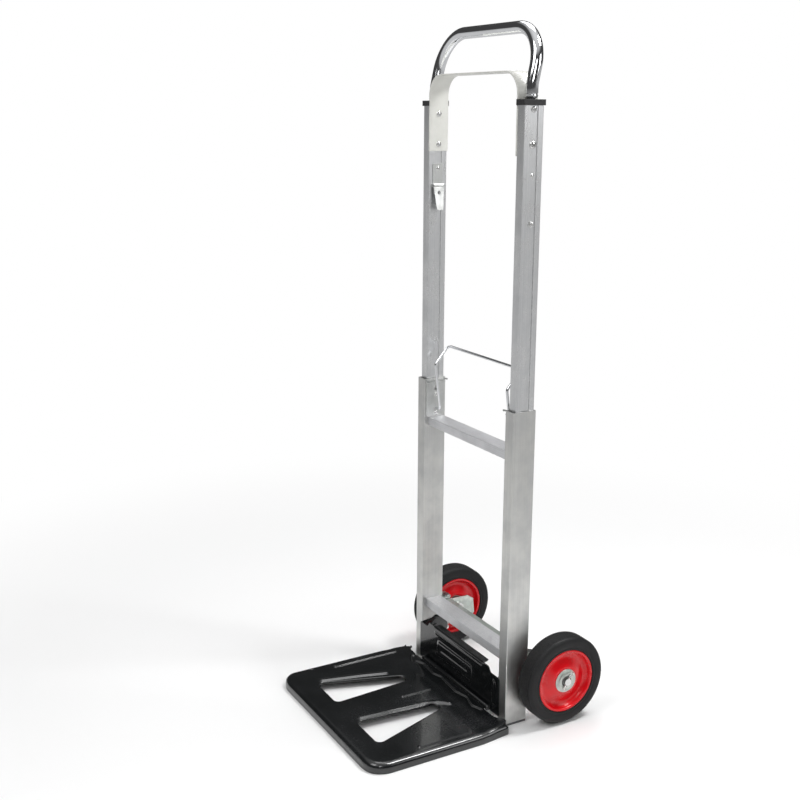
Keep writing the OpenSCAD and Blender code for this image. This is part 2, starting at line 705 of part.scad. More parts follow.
module swing_bracket(side) {
    x1 = bracket_x + bracket_t;
    low_arm = beam_z0 - arm_gap - bracket_t;
    high_arm = beam_top + arm_gap;
    color("#b9c2bd") on_side(side) difference() {
        union() {
            along_x(bracket_x, x1) polygon([
                [swing_y - 9, low_arm], [swing_y - 9, high_arm + bracket_t], [swing_y + 6, high_arm + bracket_t],
                [swing_y + 14, axle_z + 19], [axle_y + 22, axle_z + 19], [axle_y + 34, axle_z + 11],
                [axle_y + 37, axle_z - 18], [axle_y + 28, axle_z - 26], [swing_y + 16, axle_z - 26]]);
            for (z = [low_arm, high_arm]) translate([0, 0, z]) linear_extrude(bracket_t) {
                translate([swing_x, swing_y]) circle(r = 9);
                translate([swing_x, swing_y - 9]) square([x1 - swing_x, 18]);
            }
            bar_x(bracket_x - 2, bracket_x + eps, axle_y, axle_z, axle_d + 10);
        }
        bar_z(swing_x, swing_y, low_arm - 1, high_arm + bracket_t + 1, swing_d + 2 * run_gap);
        bar_x(bracket_x - 4, x1 + 1, axle_y, axle_z, axle_d + 2 * run_gap);
    }
}

module axle(side) {
    color("gainsboro") on_side(side) difference() {
        union() {
            bar_x(bracket_x - 3, axle_out, axle_y, axle_z, axle_d);
            bar_x(bracket_x - 5, bracket_x - 2, axle_y, axle_z, axle_d + 7);
        }
        translate([axle_out - 2.2, axle_y, axle_z]) rotate([-35, 0, 0]) cylinder(d = 3.2, h = 30, center = true);
    }
}

module fold_spring(side) {
    wire = 2;
    coils = 11;
    top = beam_z0 - arm_gap - bracket_t - wire / 2 - 0.1;
    color("gainsboro") on_side(side) translate([swing_x, swing_y, 0]) rotate_extrude() union() {
        for (i = [0:coils - 1]) translate([swing_d / 2 + 0.4 + wire / 2, top - i * 1.85]) circle(d = wire, $fn = 24);
    }
}

module axle_washers(side) {
    x1 = bracket_x + bracket_t;
    hub_out = wheel_x + hub_face;
    color("gainsboro") on_side(side) {
        difference() {
            bar_x(x1, hub_x - slide_gap, axle_y, axle_z, axle_d + 12);
            bar_x(x1 - 1, hub_x + 1, axle_y, axle_z, axle_d + 2 * run_gap);
        }
        difference() {
            bar_x(hub_out + slide_gap, hub_out + slide_gap + 1.6, axle_y, axle_z, 28);
            bar_x(hub_out, hub_out + 4, axle_y, axle_z, axle_d + 2 * run_gap);
        }
    }
}

// Split pin through the axle end: eye on one side, two spread legs on the other.
module cotter_pin(side) {
    color("white") on_side(side) translate([axle_out - 2.2, axle_y, axle_z]) rotate([-35, 0, 0]) {
        cylinder(d = 3, h = 26, center = true);
        translate([0, 0, 15]) rotate([0, 90, 0]) rotate_extrude() translate([3, 0]) circle(d = 2.2);
    }
}

// Wheel pieces are turned about X: outlines are drawn as (radius, offset from the wheel's middle).
module turned(side) {
    on_side(side) translate([wheel_x, axle_y, axle_z]) rotate([0, 90, 0]) rotate_extrude() children();
}

module tyre(side) {
    half = wheel_w / 2;
    shoulder = 7;
    ribs = 7;
    rib_step = 2.6;
    color("#1c1c1e") turned(side) difference() {
        polygon(concat(
            [[bore_r + 0.05, -half + 2.6], [bore_r + 4, -half + 2.6], [bore_r + 5, -half]],
            arc(wheel_r - shoulder, -half + shoulder, shoulder, 270, 360, 8),
            arc(wheel_r - shoulder, half - shoulder, shoulder, 0, 90, 8),
            [[bore_r + 5, half], [bore_r + 4, half - 2.6], [bore_r + 0.05, half - 2.6]]));
        for (i = [0:ribs - 1]) translate([wheel_r + 0.2, (i - (ribs - 1) / 2) * rib_step]) circle(d = 1.6, $fn = 16);
    }
}

// One pressed half of the rim; flip is -1 for the half that faces the frame.
module rim_half(side, flip) {
    t = 1.4;
    lip = wheel_w / 2 - 2.5;
    web = 5;
    hub_r = 9;
    hub_a = hub_face - hub_disc - t - 0.05;
    outline = [
        [bore_r, 0.1], [bore_r, lip], [bore_r + 3.6, lip], [bore_r + 3.6, lip + t], [bore_r - t, lip + t],
        [bore_r - t - 1.5, web + t], [bore_r - 11, web + t], [bore_r - 13, web + 3.6], [bore_r - 19, web + 4.2],
        [bore_r - 24, hub_a + t], [hub_r + 0.05, hub_a + t], [hub_r + 0.05, hub_a], [bore_r - 25, hub_a],
        [bore_r - 20, web + 2.8], [bore_r - 14, web + 2.2], [bore_r - 12, web], [bore_r - t - 0.4, web],
        [bore_r - t, 0.1]];
    color("#c4161f") turned(side) polygon([for (p = outline) [p[0], flip * p[1]]]);
}

module hub(side) {
    half = wheel_w / 2;
    bore = axle_d / 2 + run_gap;
    color("#9aa3a0") turned(side) {
        translate([bore, -half]) square([9 - bore, half + hub_face]);
        translate([bore, hub_face - hub_disc]) square([20 - bore, hub_disc]);
        translate([bore, -hub_face]) square([20 - bore, hub_disc]);
    }
}

lower_rail(-1);  // lower_rail_left
lower_rail(1);  // lower_rail_right
foot_plug(-1);  // foot_plug_left
foot_plug(1);  // foot_plug_right
rail_guide(-1);  // rail_guide_left
rail_guide(1);  // rail_guide_right
crossbar(mid_top, mid_h, false);  // middle_crossbar
crossbar(bar_top, bar_h, true);  // lower_crossbar
crossbar_screws();
latch_plate(-1);  // latch_plate_left
latch_plate(1);  // latch_plate_right
latch_rivets();
back_plate();
back_plate_rivets();
toe_hinge_pin();
wheel_beam();
beam_rivets();
swing_pin(-1);  // swing_pin_left
swing_pin(1);  // swing_pin_right
upper_rail(-1);  // upper_rail_left
upper_rail(1);  // upper_rail_right
rail_glide(-1);  // rail_glide_left
rail_glide(1);  // rail_glide_right
rail_cap(-1);  // rail_cap_left
rail_cap(1);  // rail_cap_right
handle();
strap_bracket();
strap_rivets();
handle_screws();
catch_hook(-1);  // catch_hook_left
catch_hook(1);  // catch_hook_right
hook_rivets();
stop_pins();
release_bail();
lock_button(-1);  // lock_button_left
lock_button(1);  // lock_button_right
toe_plate();
swing_bracket(-1);  // swing_bracket_left
swing_bracket(1);  // swing_bracket_right
axle(-1);  // axle_left
axle(1);  // axle_right
fold_spring(-1);  // fold_spring_left
fold_spring(1);  // fold_spring_right
axle_washers(-1);  // axle_washers_left
axle_washers(1);  // axle_washers_right
cotter_pin(-1);  // cotter_pin_left
cotter_pin(1);  // cotter_pin_right
tyre(-1);  // tyre_left
tyre(1);  // tyre_right
rim_half(-1, 1);  // rim_outer_left
rim_half(1, 1);  // rim_outer_right
rim_half(-1, -1);  // rim_inner_left
rim_half(1, -1);  // rim_inner_right
hub(-1);  // hub_left
hub(1);  // hub_right
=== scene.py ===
import math
import bmesh
import bpy
import numpy as np
from mathutils import Matrix, Vector
from mathutils.geometry import convex_hull_2d, delaunay_2d_cdt
from mathutils.kdtree import KDTree


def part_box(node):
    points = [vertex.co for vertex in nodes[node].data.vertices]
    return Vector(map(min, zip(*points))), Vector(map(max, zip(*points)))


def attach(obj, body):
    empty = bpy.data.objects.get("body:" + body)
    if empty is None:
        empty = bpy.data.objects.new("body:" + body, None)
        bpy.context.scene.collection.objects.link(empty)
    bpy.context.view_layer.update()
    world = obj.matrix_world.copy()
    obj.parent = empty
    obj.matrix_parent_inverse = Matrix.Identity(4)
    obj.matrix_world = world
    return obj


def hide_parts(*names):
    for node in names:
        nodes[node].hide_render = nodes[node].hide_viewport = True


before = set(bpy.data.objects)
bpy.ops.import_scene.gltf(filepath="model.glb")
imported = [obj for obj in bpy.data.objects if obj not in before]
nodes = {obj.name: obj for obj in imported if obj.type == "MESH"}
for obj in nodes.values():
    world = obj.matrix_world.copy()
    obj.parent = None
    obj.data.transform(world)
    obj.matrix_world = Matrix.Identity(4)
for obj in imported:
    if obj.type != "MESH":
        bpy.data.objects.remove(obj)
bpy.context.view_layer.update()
mm = 0.001
print("frame loaded,", len(nodes), "nodes")

# places that many pieces share, read from the frame
railIn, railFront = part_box("lower_rail_right")[0][:2]
upperIn, upperOut = (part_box("upper_rail_right")[i].x for i in (0, 1))
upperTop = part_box("upper_rail_right")[1].z
upperY = sum(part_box("upper_rail_right"), Vector()).y / 2
hingeLine = sum(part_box("toe_hinge_pin"), Vector()) / 2
wheelLow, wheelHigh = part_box("tyre_right")
wheelMid = (wheelLow + wheelHigh) / 2
wheelRadius = (wheelHigh.z - wheelLow.z) / 2
wheelHalf = (wheelHigh.x - wheelLow.x) / 2


# ---- camera, floor and light ----

def placeInScene(name, data):
    made = bpy.data.objects.new(name, data)
    bpy.context.scene.collection.objects.link(made)
    return made


cameraSetup = {"place": (1.537, -0.940, 0.978), "yaw": 60.5, "pitch": 14.02, "roll": 0.24, "lens": 51.49}


def makeCamera(setup):
    yaw, pitch, roll = (math.radians(setup[k]) for k in ("yaw", "pitch", "roll"))
    ahead = Vector((-math.sin(yaw) * math.cos(pitch), math.cos(yaw) * math.cos(pitch), -math.sin(pitch)))
    side = Vector((math.cos(yaw), math.sin(yaw), 0))
    above = side.cross(ahead)
    acrossView = side * math.cos(roll) + above * math.sin(roll)
    upView = above * math.cos(roll) - side * math.sin(roll)
    lens = bpy.data.cameras.new("studioCamera")
    lens.lens = setup["lens"]
    lens.sensor_width = 36
    lens.clip_start = 0.05
    camera = placeInScene("studioCamera", lens)
    basis = Matrix((acrossView, upView, -ahead)).transposed()
    camera.matrix_world = Matrix.Translation(setup["place"]) @ basis.to_4x4()
    bpy.context.scene.camera = camera


makeCamera(cameraSetup)
bpy.context.scene.view_settings.view_transform = "Standard"

lightSetup = {
    "keyBox": {"place": (0.4, -2.2, 2.7), "aim": (0, 0, 0.4), "size": 1.6, "power": 34},
    "cameraBox": {"place": (2.5, -1.2, 2.0), "aim": (0, 0, 0.3), "size": 0.8, "power": 12},
    "sideBox": {"place": (2.4, 1.9, 1.8), "aim": (0, 0, 0.6), "size": 1.2, "power": 17},
    "topBox": {"place": (-0.9, 0.7, 3.0), "aim": (0, 0, 0.4), "size": 1.5, "power": 20},
    "topStrip": {"place": (0.5, 0.9, 2.1), "aim": (0, 0, 0.2), "size": 0.45, "power": 20},
}


def makeSoftBox(name, setup):
    light = bpy.data.lights.new(name, "AREA")
    light.shape = "SQUARE"
    light.size = setup["size"]
    light.energy = setup["power"]
    box = placeInScene(name, light)
    place = Vector(setup["place"])
    box.rotation_mode = "QUATERNION"
    box.rotation_quaternion = (Vector(setup["aim"]) - place).to_track_quat("-Z", "Y")
    box.location = place


for lightName, setup in lightSetup.items():
    makeSoftBox(lightName, setup)


def addNode(tree, kind, **settings):
    made = tree.nodes.new(kind)
    for key, value in settings.items():
        setattr(made, key, value)
    return made


def rampOf(tree, stops):
    ramp = addNode(tree, "ShaderNodeValToRGB")
    while len(ramp.color_ramp.elements) < len(stops):
        ramp.color_ramp.elements.new(0.5)
    for element, (place, colour) in zip(ramp.color_ramp.elements, stops):
        element.position = place
        element.color = (colour, colour, colour, 1)
    return ramp


# Stretches one span of values onto another.
def spanNode(tree, low=0.0, high=1.0, start=0.0, end=1.0, **settings):
    made = addNode(tree, "ShaderNodeMapRange", **settings)
    for label, value in zip(("From Min", "From Max", "To Min", "To Max"), (low, high, start, end)):
        made.inputs[label].default_value = value
    return made


# White to the eye, and a soft bright-dark-bright band round the room for the metal to pick up.
def makeRoom(backdrop, strength):
    world = bpy.data.worlds.new("studioRoom")
    bpy.context.scene.world = world
    world.use_nodes = True
    tree = world.node_tree
    tree.nodes.clear()
    coords = addNode(tree, "ShaderNodeTexCoord")
    height = addNode(tree, "ShaderNodeSeparateXYZ")
    lift = spanNode(tree, -1)
    band = rampOf(tree, [(0.0, 0.6), (0.495, 0.6), (0.52, 0.07), (0.79, 0.07), (0.87, 0.6), (1.0, 1.0)])
    unseen = addNode(tree, "ShaderNodeBackground")
    unseen.inputs["Strength"].default_value = strength
    seen = addNode(tree, "ShaderNodeBackground")
    seen.inputs["Color"].default_value = (backdrop, backdrop, backdrop, 1)
    path = addNode(tree, "ShaderNodeLightPath")
    mix = addNode(tree, "ShaderNodeMixShader")
    out = addNode(tree, "ShaderNodeOutputWorld")
    link = tree.links.new
    link(coords.outputs["Generated"], height.inputs[0])
    link(height.outputs["Z"], lift.inputs["Value"])
    link(lift.outputs["Result"], band.inputs["Fac"])
    link(band.outputs["Color"], unseen.inputs["Color"])
    link(path.outputs["Is Camera Ray"], mix.inputs["Fac"])
    link(unseen.outputs[0], mix.inputs[1])
    link(seen.outputs[0], mix.inputs[2])
    link(mix.outputs[0], out.inputs["Surface"])


roomSetup = {
    "backdrop": 1.0, "strength": 0.8, "mirrored": 0.62, "floorSize": 9.0, "fadeFrom": 0.45, "fadeTo": 1.5,
}
makeRoom(roomSetup["backdrop"], roomSetup["strength"])


# A round pale floor that fades into the backdrop away from the truck; metal picks it up as grey.
def makeFloor(setup):
    ring = 96
    mesh = bpy.data.meshes.new("studioFloor")
    rim = [(setup["floorSize"] * math.cos(a), setup["floorSize"] * math.sin(a), 0)
           for a in (2 * math.pi * i / ring for i in range(ring))]
    mesh.from_pydata(rim, [], [tuple(range(ring))])
    floor = placeInScene("studioFloor", mesh)
    mat = bpy.data.materials.new("paleFloor")
    mat.use_nodes = True
    tree = mat.node_tree
    bsdf = tree.nodes["Principled BSDF"]
    bsdf.inputs["Base Color"].default_value = (0.93, 0.93, 0.93, 1)
    bsdf.inputs["Roughness"].default_value = 0.7
    coords = addNode(tree, "ShaderNodeTexCoord")
    away = addNode(tree, "ShaderNodeVectorMath", operation="LENGTH")
    fade = spanNode(tree, setup["fadeFrom"], setup["fadeTo"], interpolation_type="SMOOTHSTEP")
    path = addNode(tree, "ShaderNodeLightPath")
    level = spanNode(tree, start=setup["mirrored"], end=setup["backdrop"])
    glow = addNode(tree, "ShaderNodeEmission")
    mix = addNode(tree, "ShaderNodeMixShader")
    link = tree.links.new
    link(coords.outputs["Object"], away.inputs[0])
    link(away.outputs["Value"], fade.inputs["Value"])
    link(fade.outputs["Result"], mix.inputs["Fac"])
    link(path.outputs["Is Camera Ray"], level.inputs["Value"])
    link(level.outputs["Result"], glow.inputs["Strength"])
    link(bsdf.outputs[0], mix.inputs[1])
    link(glow.outputs[0], mix.inputs[2])
    link(mix.outputs[0], tree.nodes["Material Output"].inputs["Surface"])
    mesh.materials.append(mat)


makeFloor(roomSetup)
print("camera, light and floor made")


# ---- shared surface effects ----

def newGroup(name, inputs, outputs):
    group = bpy.data.node_groups.new(name, "ShaderNodeTree")
    kinds = {float: "NodeSocketFloat", tuple: "NodeSocketVector"}
    for label, value in inputs.items():
        socket = group.interface.new_socket(label, in_out="INPUT", socket_type=kinds[type(value)])
        socket.default_value = value
    for label in outputs:
        group.interface.new_socket(label, in_out="OUTPUT", socket_type="NodeSocketFloat")
    return group, addNode(group, "NodeGroupInput"), addNode(group, "NodeGroupOutput")


# Noise drawn out along one direction, for extrusion lines, brushing and moulding flow.
def makeGrainGroup():
    group, ins, outs = newGroup("drawnGrain", {"Stretch": (900.0, 900.0, 5.0), "Detail": 3.0}, ["Streak"])
    link = group.links.new
    coords = addNode(group, "ShaderNodeTexCoord")
    stretch = addNode(group, "ShaderNodeVectorMath", operation="MULTIPLY")
    noise = addNode(group, "ShaderNodeTexNoise")
    noise.inputs["Scale"].default_value = 1
    link(coords.outputs["Object"], stretch.inputs[0])
    link(ins.outputs["Stretch"], stretch.inputs[1])
    link(stretch.outputs[0], noise.inputs["Vector"])
    link(ins.outputs["Detail"], noise.inputs["Detail"])
    link(noise.outputs["Fac"], outs.inputs["Streak"])
    return group


# Cloudy patches: finger marks, uneven polish and slow colour drift.
def makePatchGroup():
    group, ins, outs = newGroup("softPatches", {"Scale": 20.0, "Low": 0.0, "High": 1.0}, ["Patch"])
    link = group.links.new
    coords = addNode(group, "ShaderNodeTexCoord")
    noise = addNode(group, "ShaderNodeTexNoise")
    noise.inputs["Detail"].default_value = 4
    noise.inputs["Roughness"].default_value = 0.6
    spread = spanNode(group, 0.3, 0.7, interpolation_type="SMOOTHSTEP")
    link(coords.outputs["Object"], noise.inputs["Vector"])
    link(ins.outputs["Scale"], noise.inputs["Scale"])
    link(noise.outputs["Fac"], spread.inputs["Value"])
    link(ins.outputs["Low"], spread.inputs["To Min"])
    link(ins.outputs["High"], spread.inputs["To Max"])
    link(spread.outputs["Result"], outs.inputs["Patch"])
    return group


# Rubbed edges and painted edge highlights: where the rounded normal leaves the true one, broken up by noise.
def makeEdgeGroup():
    group, ins, outs = newGroup("rubbedEdgeAndHighlight", {"Radius": 0.0012, "Break": 260.0}, ["Edge"])
    link = group.links.new
    soft = addNode(group, "ShaderNodeBevel", samples=4)
    true = addNode(group, "ShaderNodeNewGeometry")
    match = addNode(group, "ShaderNodeVectorMath", operation="DOT_PRODUCT")
    wornAndHighlit = spanNode(group, 0.995, 0.86)
    coords = addNode(group, "ShaderNodeTexCoord")
    noise = addNode(group, "ShaderNodeTexNoise")
    patchy = spanNode(group, 0.35, 0.62)
    both = addNode(group, "ShaderNodeMath", operation="MULTIPLY")
    link(ins.outputs["Radius"], soft.inputs["Radius"])
    link(soft.outputs[0], match.inputs[0])
    link(true.outputs["Normal"], match.inputs[1])
    link(match.outputs["Value"], wornAndHighlit.inputs["Value"])
    link(coords.outputs["Object"], noise.inputs["Vector"])
    link(ins.outputs["Break"], noise.inputs["Scale"])
    link(noise.outputs["Fac"], patchy.inputs["Value"])
    link(wornAndHighlit.outputs["Result"], both.inputs[0])
    link(patchy.outputs["Result"], both.inputs[1])
    link(both.outputs[0], outs.inputs["Edge"])
    return group


# Settled dust and small specks: more on faces that look up.
def makeDustGroup():
    group, ins, outs = newGroup("settledDust", {"Scale": 700.0, "Amount": 0.3}, ["Dust"])
    link = group.links.new
    coords = addNode(group, "ShaderNodeTexCoord")
    noise = addNode(group, "ShaderNodeTexNoise")
    noise.inputs["Detail"].default_value = 5
    specks = spanNode(group, 0.5, 0.75)
    face = addNode(group, "ShaderNodeNewGeometry")
    up = addNode(group, "ShaderNodeSeparateXYZ")
    upward = spanNode(group, start=0.35)
    dusty = addNode(group, "ShaderNodeMath", operation="MULTIPLY")
    amount = addNode(group, "ShaderNodeMath", operation="MULTIPLY")
    link(coords.outputs["Object"], noise.inputs["Vector"])
    link(ins.outputs["Scale"], noise.inputs["Scale"])
    link(noise.outputs["Fac"], specks.inputs["Value"])
    link(face.outputs["Normal"], up.inputs[0])
    link(up.outputs["Z"], upward.inputs["Value"])
    link(specks.outputs["Result"], dusty.inputs[0])
    link(upward.outputs["Result"], dusty.inputs[1])
    link(dusty.outputs[0], amount.inputs[0])
    link(ins.outputs["Amount"], amount.inputs[1])
    link(amount.outputs[0], outs.inputs["Dust"])
    return group


effects = {
    "grain": makeGrainGroup(), "patch": makePatchGroup(), "edge": makeEdgeGroup(), "dust": makeDustGroup(),
}


# ---- finishes ----

# base, tint and edge are colours, or one number for a grey; stretch is along X, Y and Z, or the same for all
finishLooks = {
    "lowerAluminium": {
        "base": (0.66, 0.66, 0.64), "tint": (0.58, 0.585, 0.58), "edge": 0.82, "rough": (0.33, 0.46),
        "stretch": (1400.0, 1400.0, 3.0), "grain": 0.16, "bump": 0.00004,
    },
    # base lighter than the lower rails' aluminium: painted light for the brightly lit crossbar tops
    "crossbarAluminium": {
        "base": (0.8, 0.8, 0.82), "tint": (0.72, 0.725, 0.74), "edge": 0.85, "rough": (0.44, 0.56),
        "stretch": (3.0, 1400.0, 1400.0), "grain": 0.16, "bump": 0.00004,
    },
    # its light edge colour paints bright highlight lines along the upper rail edges
    "upperAluminium": {
        "base": (0.74, 0.745, 0.75), "tint": (0.66, 0.67, 0.68), "edge": 0.88, "rough": (0.24, 0.34),
        "stretch": (1800.0, 1800.0, 2.0), "grain": 0.2, "bump": 0.00003,
    },
    "latchSheet": {
        "base": (0.66, 0.67, 0.66), "tint": (0.56, 0.57, 0.56), "edge": (0.85, 0.85, 0.84),
        "rough": (0.3, 0.45), "stretch": (500.0, 500.0, 60.0), "grain": 0.15, "bump": 0.00003,
    },
    "zincPlate": {
        "base": (0.62, 0.65, 0.61), "tint": (0.5, 0.55, 0.52), "edge": (0.8, 0.82, 0.8),
        "rough": (0.32, 0.5), "stretch": 180.0, "grain": 0.22, "bump": 0.00003, "dust": 0.15,
        "patchScale": 60.0,
    },
    "brightSteel": {
        "base": (0.72, 0.72, 0.71), "tint": 0.6, "edge": 0.9, "rough": (0.16, 0.3), "stretch": 700.0,
        "grain": 0.1, "bump": 0.00001,
    },
    # dark steel for the seal rings, and painted shade for the screw cross recesses
    "darkSteel": {
        "base": 0.09, "tint": (0.16, 0.16, 0.15), "edge": 0.4, "rough": (0.35, 0.55), "stretch": 500.0,
        "grain": 0.2, "bump": 0.00001,
    },
    "polishedChrome": {
        "base": (0.83, 0.84, 0.86), "tint": (0.78, 0.79, 0.81), "edge": 0.9, "rough": (0.04, 0.13),
        "stretch": 300.0, "grain": 0.03, "bump": 0.000004,
    },
    "whiteEnamel": {
        "base": (0.74, 0.74, 0.7), "tint": (0.68, 0.68, 0.64), "edge": (0.5, 0.5, 0.49),
        "rough": (0.36, 0.5), "metal": 0., "stretch": 900.0, "grain": 0.04, "bump": 0.00005,
        "coat": 0.25, "dust": 0.12,
    },
    "blackEnamel": {
        "base": (0.004, 0.005, 0.0055), "tint": (0.008, 0.009, 0.01), "edge": (0.016, 0.017, 0.018),
        "rough": (0.12, 0.24), "metal": 0., "stretch": 420.0, "grain": 0.2, "bump": 0.00004, "coat": 0.6,
        "dust": 0.02, "patchScale": 12.0,
    },
    "redEnamel": {
        "base": (0.76, 0.004, 0.01), "tint": (0.64, 0.003, 0.008), "edge": (0.8, 0.02, 0.025),
        "rough": (0.16, 0.28), "metal": 0., "stretch": 600.0, "grain": 0.06, "bump": 0.00002,
        "coat": 0.25, "shine": 0.3,
    },
    "tyreRubber": {
        "base": (0.008, 0.008, 0.009), "tint": (0.013, 0.013, 0.014), "edge": 0.025,
        "rough": (0.45, 0.65), "metal": 0., "stretch": 1300.0, "grain": 0.3, "bump": 0.0001,
        "dust": 0.05, "shine": 0.3,
    },
    "blackPlastic": {
        "base": (0.012, 0.012, 0.013), "tint": (0.02, 0.02, 0.021), "edge": 0.06, "rough": (0.38, 0.52),
        "metal": 0., "stretch": 2000.0, "grain": 0.2, "bump": 0.00004, "dust": 0.2,
    },
    "greyPlastic": {
        "base": (0.09, 0.09, 0.092), "tint": 0.13, "edge": 0.2, "rough": (0.45, 0.6), "metal": 0.,
        "stretch": 2000.0, "grain": 0.2, "bump": 0.00004, "dust": 0.2,
    },
}
dustColour = (0.33, 0.31, 0.28)


def tripleOf(value):
    return value if isinstance(value, tuple) else (value, value, value)


def placeGroup(tree, name, **values):
    made = addNode(tree, "ShaderNodeGroup")
    made.node_tree = effects[name]
    for key, value in values.items():
        made.inputs[key.capitalize()].default_value = value
    return made.outputs[0]


def blendColour(tree, factor, under, over):
    mix = addNode(tree, "ShaderNodeMix", data_type="RGBA")
    tree.links.new(factor, mix.inputs[0])
    for socket, colour in ((mix.inputs[6], under), (mix.inputs[7], over)):
        if isinstance(colour, (float, tuple)):
            socket.default_value = (*tripleOf(colour), 1)
        else:
            tree.links.new(colour, socket)
    return mix.outputs[2]


# A Principled finish: patchy colour, drawn grain, rubbed edges with painted edge highlights and a little
# dust.
def makeFinish(name, look):
    mat = bpy.data.materials.new(name)
    mat.use_nodes = True
    tree = mat.node_tree
    link = tree.links.new
    bsdf = tree.nodes["Principled BSDF"]
    patch = placeGroup(tree, "patch", scale=look.get("patchScale", 28.0))
    streak = placeGroup(tree, "grain", stretch=tripleOf(look["stretch"]))
    edge = placeGroup(tree, "edge")
    grain = spanNode(tree, 0.32, 0.68, end=look["grain"], interpolation_type="SMOOTHSTEP")
    link(streak, grain.inputs["Value"])
    darker = tuple(c * 0.45 for c in tripleOf(look["base"]))
    colour = blendColour(tree, patch, look["base"], look["tint"])
    colour = blendColour(tree, grain.outputs["Result"], colour, darker)
    # edge colour over the edges: partly rubbed wear, partly a painted highlight along them
    colour = blendColour(tree, edge, colour, look["edge"])
    if "dust" in look:
        colour = blendColour(tree, placeGroup(tree, "dust", amount=look["dust"]), colour, dustColour)
    link(colour, bsdf.inputs["Base Color"])
    smear = spanNode(tree, start=look["rough"][0], end=look["rough"][1])
    link(patch, smear.inputs["Value"])
    uneven = addNode(tree, "ShaderNodeMath", operation="MULTIPLY_ADD", use_clamp=True)
    uneven.inputs[1].default_value = 0.3
    link(grain.outputs["Result"], uneven.inputs[0])
    link(smear.outputs["Result"], uneven.inputs[2])
    link(uneven.outputs[0], bsdf.inputs["Roughness"])
    bump = addNode(tree, "ShaderNodeBump")
    bump.inputs["Distance"].default_value = look["bump"]
    link(streak, bump.inputs["Height"])
    link(bump.outputs["Normal"], bsdf.inputs["Normal"])
    bsdf.inputs["Metallic"].default_value = look.get("metal", 1.0)
    bsdf.inputs["Specular IOR Level"].default_value = look.get("shine", 0.5)
    bsdf.inputs["Coat Weight"].default_value = look.get("coat", 0.0)
    bsdf.inputs["Coat Roughness"].default_value = 0.07
    return mat


finishes = {name: makeFinish(name, look) for name, look in finishLooks.items()}
print("finishes made:", len(finishes))


# ---- mesh helpers: a shell is a pair of lists, its vertices and its faces ----

def arcPoints(centre, radius, start, end, count):
    turns = (math.radians(start + (end - start) * i / count) for i in range(count + 1))
    return [(centre[0] + radius * math.cos(a), centre[1] + radius * math.sin(a)) for a in turns]


def joinShells(*shells):
    points, faces = [], []
    for shellPoints, shellFaces in shells:
        start = len(points)
        points.extend(shellPoints)
        faces.extend([tuple(i + start for i in face) for face in shellFaces])
    return points, faces


def mirrorShell(shell):
    return [Vector((-p[0], p[1], p[2])) for p in shell[0]], [tuple(reversed(f)) for f in shell[1]]


# Turns a closed outline of (radius, distance along the axis) about an axis.
def turnShell(outline, centre, axis, steps=64):
    axis = Vector(axis).normalized()
    across = axis.orthogonal().normalized()
    third = axis.cross(across)
    points, faces = [], []
    count = len(outline)
    for i in range(steps):
        turn = 2 * math.pi * i / steps
        out = across * math.cos(turn) + third * math.sin(turn)
        points.extend(Vector(centre) + out * radius + axis * along for radius, along in outline)
    for i in range(steps):
        here, there = i * count, ((i + 1) % steps) * count
        for j in range(count):
            k = (j + 1) % count
            if max(outline[j][0], outline[k][0]) > 1e-7:
                faces.append((here + j, there + j, there + k, here + k))
    return points, faces


# Faces that join rings of points in order, with both ends closed.
def ringFaces(rings, count):
    faces = []
    for i in range(rings - 1):
        for j in range(count):
            k = (j + 1) % count
            faces.append((i * count + j, i * count + k, (i + 1) * count + k, (i + 1) * count + j))
    faces.append(tuple(range(count - 1, -1, -1)))
    faces.append(tuple((rings - 1) * count + j for j in range(count)))
    return faces


# Sweeps a round section along a path, with one radius or a list of them.
def tubeShell(path, radius, sides=20):
    path = [Vector(p) for p in path]
    radii = radius if isinstance(radius, list) else [radius] * len(path)
    last = len(path) - 1
    ahead = [(path[min(i + 1, last)] - path[max(i - 1, 0)]).normalized() for i in range(len(path))]
    side = ahead[0].orthogonal().normalized()
    points = []
    for i, centre in enumerate(path):
        side = (side - ahead[i] * side.dot(ahead[i])).normalized()
        other = ahead[i].cross(side)
        for k in range(sides):
            turn = 2 * math.pi * k / sides
            points.append(centre + (side * math.cos(turn) + other * math.sin(turn)) * radii[i])
    return points, ringFaces(len(path), sides)


# Straight extrusion along X of a closed outline of (y, z), with its end edges rounded off.
def barShell(outline, x0, x1, soft=0.0004):
    middle = Vector((sum(p[0] for p in outline), sum(p[1] for p in outline))) / len(outline)
    spans = [(x0, soft), (x0 + soft * 0.3, soft * 0.3), (x0 + soft, 0),
             (x1 - soft, 0), (x1 - soft * 0.3, soft * 0.3), (x1, soft)]
    points = []
    for x, shrink in spans:
        for y, z in outline:
            inward = (middle - Vector((y, z))).normalized() * shrink
            points.append(Vector((x, y + inward[0], z + inward[1])))
    return points, ringFaces(len(spans), len(outline))


def makeMesh(name, shell, sharpest=38):
    mesh = bpy.data.meshes.new(name)
    mesh.from_pydata([tuple(p) for p in shell[0]], [], shell[1])
    work = bmesh.new()
    work.from_mesh(mesh)
    bmesh.ops.remove_doubles(work, verts=work.verts, dist=1e-6)
    bmesh.ops.dissolve_degenerate(work, edges=work.edges, dist=1e-7)
    bmesh.ops.recalc_face_normals(work, faces=work.faces)
    work.to_mesh(mesh)
    work.free()
    for polygon in mesh.polygons:
        polygon.use_smooth = True
    mesh.set_sharp_from_angle(angle=math.radians(sharpest))
    return mesh


# The piece takes its finish as its one material; a slot name, given or made from the finish, is not used.
def addPiece(name, shell, body, finish, *replaced, slot=None):
    mesh = makeMesh(name, shell)
    mesh.materials.append(finishes[finish])
    piece = placeInScene(name, mesh)
    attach(piece, body)
    slot or "".join("_" + c.lower() if c.isupper() else c for c in finish)
    if replaced:
        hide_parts(*replaced)
    return piece


